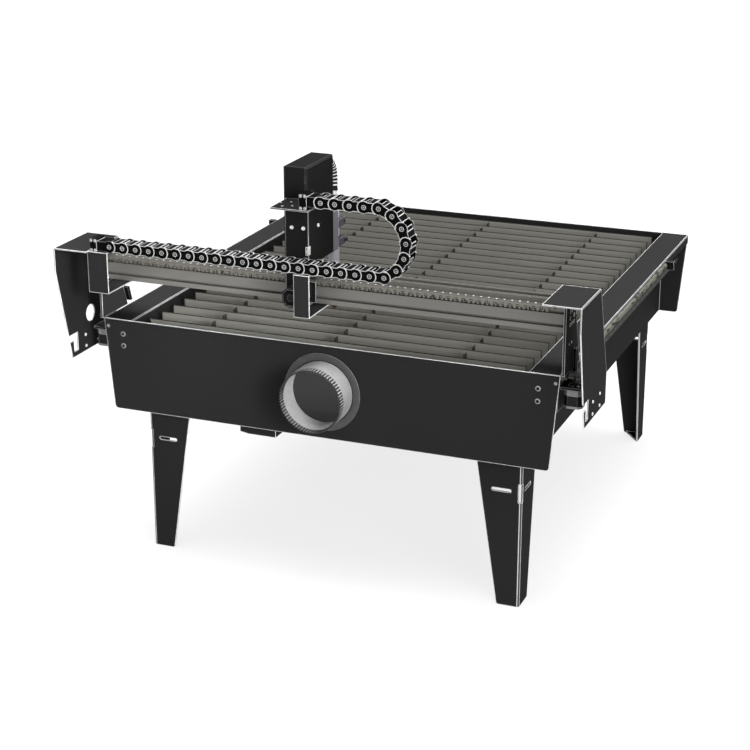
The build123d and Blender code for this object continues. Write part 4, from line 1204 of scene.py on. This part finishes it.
class PLASMA_OT_torch(bpy.types.Operator):
    """Machine torch with its cup, rings and copper tip"""

    bl_idname = "plasma.torch"
    bl_label = "Torch"

    def groove(self, radius, z, deep):
        """Four points of a turned groove."""
        return [(radius, z), (radius - deep, z + 0.0008), (radius - deep, z + 0.0022), (radius, z + 0.0030)]

    def execute(self, context):
        lo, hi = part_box("torch")
        place = Matrix.Translation(((lo.x + hi.x) / 2, (lo.y + hi.y) / 2, lo.z))
        head = (hi.x - lo.x) / 2
        barrel = head - 0.003
        tail = barrel - 0.004
        tall = hi.z - lo.z
        # Heights at which the next part starts, from the tip up
        cup_z, grip_z, barrel_z, nut_z, stub_z = 0.0130, 0.0500, 0.0980, tall - 0.0195, tall - 0.0060
        bm = bmesh.new()
        tip = [(0, 0.0015), (0.0012, 0.0015), (0.0016, 0), (0.0038, 0)]
        tip += [(0.0115, 0.0105), (0.0118, cup_z), (0, cup_z)]
        lathe(bm, tip, 40, place, 1)
        cup = [(0, cup_z), (0.0124, cup_z), (0.0148, 0.0480), (0.0148, grip_z), (0, grip_z)]
        lathe(bm, cup, 48, place, 2)
        grip = [(0, grip_z), (head - 0.0012, grip_z), (head, 0.0515)]
        for i in range(9):
            grip += self.groove(head, 0.0545 + i * 0.0046, 0.0010)
        grip += [(head, 0.0965), (head - 0.0014, barrel_z), (0, barrel_z)]
        lathe(bm, grip, 48, place, 0)
        body = [(0, barrel_z), (barrel, barrel_z)]
        for z in (0.130, 0.160, tall - 0.060, tall - 0.046):
            body += self.groove(barrel, z, 0.0008)
        body += [(barrel, nut_z - 0.0010), (barrel - 0.001, nut_z), (0, nut_z)]
        lathe(bm, body, 48, place, 3)
        nut = [(tail * cos(tau * i / 6), tail * sin(tau * i / 6)) for i in range(6)]
        prism(bm, nut, nut_z, stub_z, place, 4)
        lathe(bm, [(0, stub_z), (tail * 0.85, stub_z), (tail * 0.8, tall), (0, tall)], 32, place, 4)
        materials = [
            moulded_plastic("phenolic_sleeve", "202022", "8c8c90", 0.5),
            # Spun copper, browned and dulled by heat
            drawn_metal("copper", "5c4a3e", Z, 0.6, 0.40, 0.60, "6e5a4c"),
            drawn_metal("nitrided_cup", "6d6a66", Z, 0.5, 0.3, 0.45, "c8c8c8"),
            drawn_metal("torch_tube", "a4a2a8", Z, 0.5, 0.28, 0.42, "e4e4e4"),
            zinc_plate(),
        ]
        piece = finish_piece("machine_torch", bm, materials)
        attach(piece, "torch_slide")
        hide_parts("torch")
        return {"FINISHED"}


class PLASMA_OT_lead(bpy.types.Operator):
    """Ribbed torch lead from the torch's tail to the cover's back"""

    bl_idname = "plasma.lead"
    bl_label = "Torch lead"

    def route(self, points):
        """Points along one smooth line with these control points."""
        line = bpy.data.curves.new("lead_route", "CURVE")
        line.dimensions = "3D"
        line.resolution_u = 64
        spline = line.splines.new("NURBS")
        spline.points.add(len(points) - 1)
        for point, place in zip(spline.points, points):
            point.co = (*place, 1.0)
        spline.order_u = 3
        spline.use_endpoint_u = True
        drawn = bpy.data.objects.new("lead_route", line)
        bpy.context.scene.collection.objects.link(drawn)
        bpy.context.view_layer.update()
        traced = bpy.data.meshes.new_from_object(drawn)
        path = [v.co.copy() for v in traced.vertices]
        bpy.data.objects.remove(drawn)
        bpy.data.meshes.remove(traced)
        return path

    def stations(self, total, crest, valley, rib_pitch):
        """Distance along the lead, radius, and the finish of the band that follows."""
        end, cuff, lip = crest - 0.0003, 0.014, 0.004
        ribs = int((total - 2 * cuff) / rib_pitch)
        pitch = (total - 2 * cuff) / ribs
        shoulder = crest - 0.0005
        # Share of a rib's pitch, radius and finish
        rib = [(0.14, valley, 0), (0.26, shoulder, 1), (0.44, crest, 1)]
        rib += [(0.62, shoulder, 0), (0.74, valley, 0)]
        made = [(0.0, end, 0), (lip, end, 0), (cuff, valley, 0)]
        for k in range(ribs):
            made += [(cuff + (k + share) * pitch, radius, finish) for share, radius, finish in rib]
        return made + [(total - cuff, valley, 0), (total - lip, end, 0), (total, end, 0)]

    def gland(self, end, hollow):
        """Washer and hexagon nut where the lead goes into the cover."""
        bm = bmesh.new()
        place = facing(end, (0, 1, 0))
        base, top = 0.0022, 0.0120
        lathe_ring(bm, [(hollow, 0.0), (0.0215, 0.0), (0.0215, base), (hollow, base)], 32, place)
        nut = [(hollow, base), (0.0185, base), (0.0185, 0.0090), (0.0165, top), (hollow, top)]
        lathe_ring(bm, nut, 6, place)
        piece = finish_piece("lead_gland", bm, [black_abs()], 0.0004)
        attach(piece, "carriage")

    def execute(self, context):
        sizes = context.scene.plasma_sizes
        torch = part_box("torch")
        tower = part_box("tower_cover")
        lo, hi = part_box("torch_lead")
        crest = sizes.lead_radius
        valley = crest - 0.0024
        x = (lo.x + hi.x) / 2
        start = Vector((x, (torch[0].y + torch[1].y) / 2, torch[1].z))
        end = Vector((x, tower[1].y, hi.z - crest))
        corner = Vector((x, start.y + 0.012, end.z + 0.018))
        path = self.route((start, corner, end))
        lengths = [0.0]
        for a, b in zip(path, path[1:]):
            lengths.append(lengths[-1] + (b - a).length)
        total = lengths[-1]

        def at(distance):
            """Point and direction at a distance along the route."""
            distance = min(max(distance, 0.0), total)
            i = max(k for k in range(len(path) - 1) if lengths[k] <= distance)
            share = (distance - lengths[i]) / (lengths[i + 1] - lengths[i])
            return path[i].lerp(path[i + 1], share), (path[i + 1] - path[i]).normalized()

        segments = 28
        side = Vector((1, 0, 0))
        angles = [tau * i / segments for i in range(segments)]
        stations = self.stations(total, crest, valley, sizes.rib_pitch)
        bm = bmesh.new()
        rings = []
        for distance, radius, _ in stations:
            centre, along = at(distance)
            up = along.cross(side)
            rings.append([bm.verts.new(centre + radius * (cos(a) * side + sin(a) * up)) for a in angles])
        for k, (_, _, finish) in enumerate(stations[:-1]):
            skin(bm, rings[k : k + 2], finish)
        bm.faces.new(rings[0][::-1])
        bm.faces.new(rings[-1])
        # Black rubber, pale on the crests of its ribs: a painted highlight, partly scuffed rubber
        materials = [moulded_plastic("lead_rubber", "1a1a1a"), moulded_plastic("rubber_scuff_and_highlight", "b8b8b8")]
        piece = finish_piece("ribbed_torch_lead", bm, materials)
        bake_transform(piece)
        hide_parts("torch_lead")
        self.gland(end, crest + 0.0004)
        return {"FINISHED"}


class PLASMA_OT_end_plates(bpy.types.Operator):
    """Plates at the beam's ends, whose rear edges lean like the cheeks, and the home switch on one of them"""

    bl_idname = "plasma.end_plates"
    bl_label = "Beam end plates"

    def execute(self, context):
        colours = context.scene.plasma_finishes
        # A lighter coat on the end plates: painted light where they lie in shade
        coat = powder_coat("plate_coat_painted_light", colours.plate, colours.coat_edge, 0.8)
        # Slope of the rear edge, how far the plate hangs below the CAD's, and how long its top is
        lean, hang, top = 0.346, 0.0065, 0.207
        edges = {}
        for side, _ in SIDES:
            node = f"{side}_beam_end_plate"
            lo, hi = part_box(node)
            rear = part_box(f"{side}_end_frame")[0].y + top
            low = lo.z - hang
            outline = [(lo.y, low), (rear + lean * (hi.z - low), low), (rear, hi.z), (lo.y, hi.z)]
            bm = bmesh.new()
            prism(bm, outline, lo.x, hi.x, SIDEWAYS)
            piece = finish_piece(f"{node}_sheet", bm, [coat])
            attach(piece, "gantry")
            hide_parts(node)
            edges[side] = (rear, hi.z)
        lo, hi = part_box("home_switch")
        deep, gap = 0.013, 0.0006
        y, z = edges["left"]
        low, high = (y + gap + lean * (z - corner.z) for corner in (lo, hi))
        outline = [(low, lo.z), (low + deep, lo.z), (high + deep, hi.z), (high, hi.z)]
        bm = bmesh.new()
        prism(bm, outline, lo.x, hi.x, SIDEWAYS)
        middle = (lo.x + hi.x) / 2
        for share in (0.15, 0.75):
            spot = (middle, low + deep + (high - low) * share, lo.z + (hi.z - lo.z) * share)
            cap_screw(bm, spot, (0, 1, lean), 0.0024)
        piece = finish_piece("sealed_home_switch", bm, [black_abs()], 0.0006)
        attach(piece, "gantry")
        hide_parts("home_switch")
        return {"FINISHED"}


class PLASMA_OT_combs(bpy.types.Operator):
    """Combs that hold the slats upright, with a finger between each two slats"""

    bl_idname = "plasma.combs"
    bl_label = "Slat combs"

    def execute(self, context):
        pitch, first, thick = 0.079, 0.0395, 0.003
        tip, root, dip, foot = 0.012, 0.017, 0.036, 0.010
        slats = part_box("slats")
        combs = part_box("slat_combs")
        proud, gap, overhang = 0.0015, 0.001, 0.015
        top, base = slats[1].z + proud, slats[0].z - gap
        front, rear = slats[0].y - overhang, combs[1].y
        fingers = floor((rear - slats[0].y - first) / pitch)
        outline = [(front, base - foot), (rear, base - foot), (rear, base)]
        for i in reversed(range(fingers)):
            y = slats[0].y + first + pitch * i
            outline += [(y + root, base), (y + root, top - dip), (y + tip, top)]
            outline += [(y - tip, top), (y - root, top - dip), (y - root, base)]
        outline.append((front, base))
        spread = combs[1].x - thick / 2
        bm = bmesh.new()
        for x in (-spread, 0.0, spread):
            prism(bm, outline, x - thick / 2, x + thick / 2, SIDEWAYS)
        coat = powder_coat("comb_coat", "302e2b", "302e2b", 0.0)
        piece = finish_piece("slat_comb_sheets", bm, [coat])
        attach(piece, "table")
        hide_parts("slat_combs")
        return {"FINISHED"}


class PLASMA_OT_seams(bpy.types.Operator):
    """Pale strips where the side walls meet the panels: a painted highlight along these corners."""

    bl_idname = "plasma.seams"
    bl_label = "Wall seams"

    def execute(self, context):
        wide, proud, sheet, clear = 0.0036, 0.0016, 0.003, 0.002
        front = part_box("front_panel")[0].y + sheet
        colours = context.scene.plasma_finishes
        bm = bmesh.new()
        for side, sign in SIDES:
            lo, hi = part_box(f"{side}_side_wall")
            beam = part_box(f"{side}_guide_beam")
            face = sign * (min(abs(lo.x), abs(hi.x)) + sheet)
            x0, x1 = sorted((face, face + sign * proud))
            for y0 in (front, hi.y - wide):
                box(bm, (x0, y0, lo.z + clear), (x1, y0 + wide, beam[0].z - clear))
        seam = powder_coat("corner_highlight_coat", colours.seam, colours.seam, 0.0)
        piece = finish_piece("wall_corner_highlights", bm, [seam], 0.0005)
        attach(piece, "table")
        return {"FINISHED"}


class PLASMA_OT_bearings(bpy.types.Operator):
    """Plastic end caps on the bearing blocks"""

    bl_idname = "plasma.bearings"
    bl_label = "Bearing end caps"

    def execute(self, context):
        thick, inset, clear, bevel = 0.0035, 0.001, 0.0006, 0.0006
        bm = bmesh.new()
        for side, sign in SIDES:
            block = f"{side}_side_bearing"
            lo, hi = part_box(block)
            face = outer_face(f"{side}_guide_rail", sign) + sign * clear
            x0, x1 = sorted((outer_face(block, sign) - sign * inset, face))
            for y0 in (lo.y - thick, hi.y):
                box(bm, (x0, y0, lo.z + inset), (x1, y0 + thick, hi.z - inset))
        piece = finish_piece("side_bearing_caps", bm, [black_abs()], bevel)
        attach(piece, "gantry")
        bm = bmesh.new()
        lo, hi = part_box("cross_bearing_blocks")
        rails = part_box("cross_rails")
        wide = 0.034
        for y0, x0 in product((lo.y + inset, hi.y - wide + inset), (lo.x - thick, hi.x)):
            box(bm, (x0, y0, rails[1].z + clear), (x0 + thick, y0 + wide - 2 * inset, hi.z - inset))
        piece = finish_piece("cross_bearing_caps", bm, [black_abs()], bevel)
        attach(piece, "carriage")
        return {"FINISHED"}


class PLASMA_OT_stage(bpy.types.Operator):
    """Pale floor, soft studio light and the camera"""

    bl_idname = "plasma.stage"
    bl_label = "Stage"

    def lamp(self, name, place, aim, size, power, spread):
        """Soft square lamp that points at a place."""
        light = bpy.data.lights.new(name, "AREA")
        light.size = size
        light.energy = power
        light.spread = spread
        made = bpy.data.objects.new(name, light)
        bpy.context.scene.collection.objects.link(made)
        made.location = place
        made.rotation_euler = (Vector(aim) - Vector(place)).to_track_quat("-Z", "Y").to_euler()

    def ground(self, context):
        """Wide floor that the table stands on."""
        half = 30.0
        mesh = bpy.data.meshes.new("studio_floor")
        corners = [(-half, -half, 0), (half, -half, 0), (half, half, 0), (-half, half, 0)]
        mesh.from_pydata(corners, [], [(0, 1, 2, 3)])
        mesh.materials.append(studio_floor(context.scene.plasma_finishes.floor))
        made = bpy.data.objects.new("studio_floor", mesh)
        context.scene.collection.objects.link(made)

    def sky(self, context):
        """A wide soft box overhead that fades to grey walls, and a white band at the horizon."""
        world = bpy.data.worlds.new("studio_sky")
        context.scene.world = world
        world.use_nodes = True
        tree = world.node_tree
        background = tree.nodes["Background"]
        background.inputs["Color"].default_value = (1, 1, 1, 1)
        direction = add(tree, "ShaderNodeTexCoord").outputs["Generated"]
        height = add(tree, "ShaderNodeSeparateXYZ", {"Vector": direction}).outputs["Z"]
        above = maths(tree, "MAXIMUM", height, 0.0)
        fade = ranged(tree, maths(tree, "POWER", above, 16.0), 0.0, 1.0, 0.3, 33.0)
        band = ranged(tree, above, 0.20, 0.24, 1.0, 0.0)
        tree.links.new(maths(tree, "MAXIMUM", fade, band), background.inputs["Strength"])

    def execute(self, context):
        # Plain display of the colours, without a film curve
        context.scene.view_settings.view_transform = "Standard"
        self.ground(context)
        self.sky(context)
        self.lamp("right_light", (5.0, -5.5, 2.4), (0.0, 0.0, 0.8), 4.0, 520, pi)
        self.lamp("fill_light", (1.0, -2.2, 1.5), (-1.0, -0.72, 0.92), 1.2, 6, radians(24))
        # Lens, place and angles solved from the table's edges in the photograph
        view = bpy.data.cameras.new("photo_camera")
        view.sensor_width = 36.0
        view.lens = 87.94
        view.clip_end = 200
        eye = bpy.data.objects.new("photo_camera", view)
        context.scene.collection.objects.link(eye)
        eye.location = (2.1314, -5.6847, 2.5993)
        eye.rotation_euler = (radians(90 - 19.54), 0, radians(21.7435))
        context.scene.camera = eye
        return {"FINISHED"}


class PLASMA_PT_panel(bpy.types.Panel):
    """Lists the pieces in the sidebar"""

    bl_idname = "PLASMA_PT_panel"
    bl_label = "Plasma Table"
    bl_space_type = "VIEW_3D"
    bl_region_type = "UI"
    bl_category = "Plasma Table"

    def draw(self, context):
        for operator in OPERATORS:
            self.layout.operator(operator.bl_idname)


OPERATORS = (
    PLASMA_OT_stage,
    PLASMA_OT_lead,
    PLASMA_OT_finishes,
    PLASMA_OT_chain,
    PLASMA_OT_motors,
    PLASMA_OT_collar,
    PLASMA_OT_fasteners,
    PLASMA_OT_catch,
    PLASMA_OT_rail_screws,
    PLASMA_OT_lift_screw,
    PLASMA_OT_torch,
    PLASMA_OT_end_plates,
    PLASMA_OT_combs,
    PLASMA_OT_seams,
    PLASMA_OT_bearings,
)
CLASSES = (PlasmaTableSizes, PlasmaTableFinishes, *OPERATORS, PLASMA_PT_panel)


def register():
    for made in CLASSES:
        bpy.utils.register_class(made)
    bpy.types.Scene.plasma_sizes = bpy.props.PointerProperty(type=PlasmaTableSizes)
    bpy.types.Scene.plasma_finishes = bpy.props.PointerProperty(type=PlasmaTableFinishes)


def unregister():
    del bpy.types.Scene.plasma_finishes
    del bpy.types.Scene.plasma_sizes
    for made in reversed(CLASSES):
        bpy.utils.unregister_class(made)


def main():
    register()
    for operator in OPERATORS:
        group, name = operator.bl_idname.split(".")
        getattr(getattr(bpy.ops, group), name)()


if __name__ == "__main__":
    main()
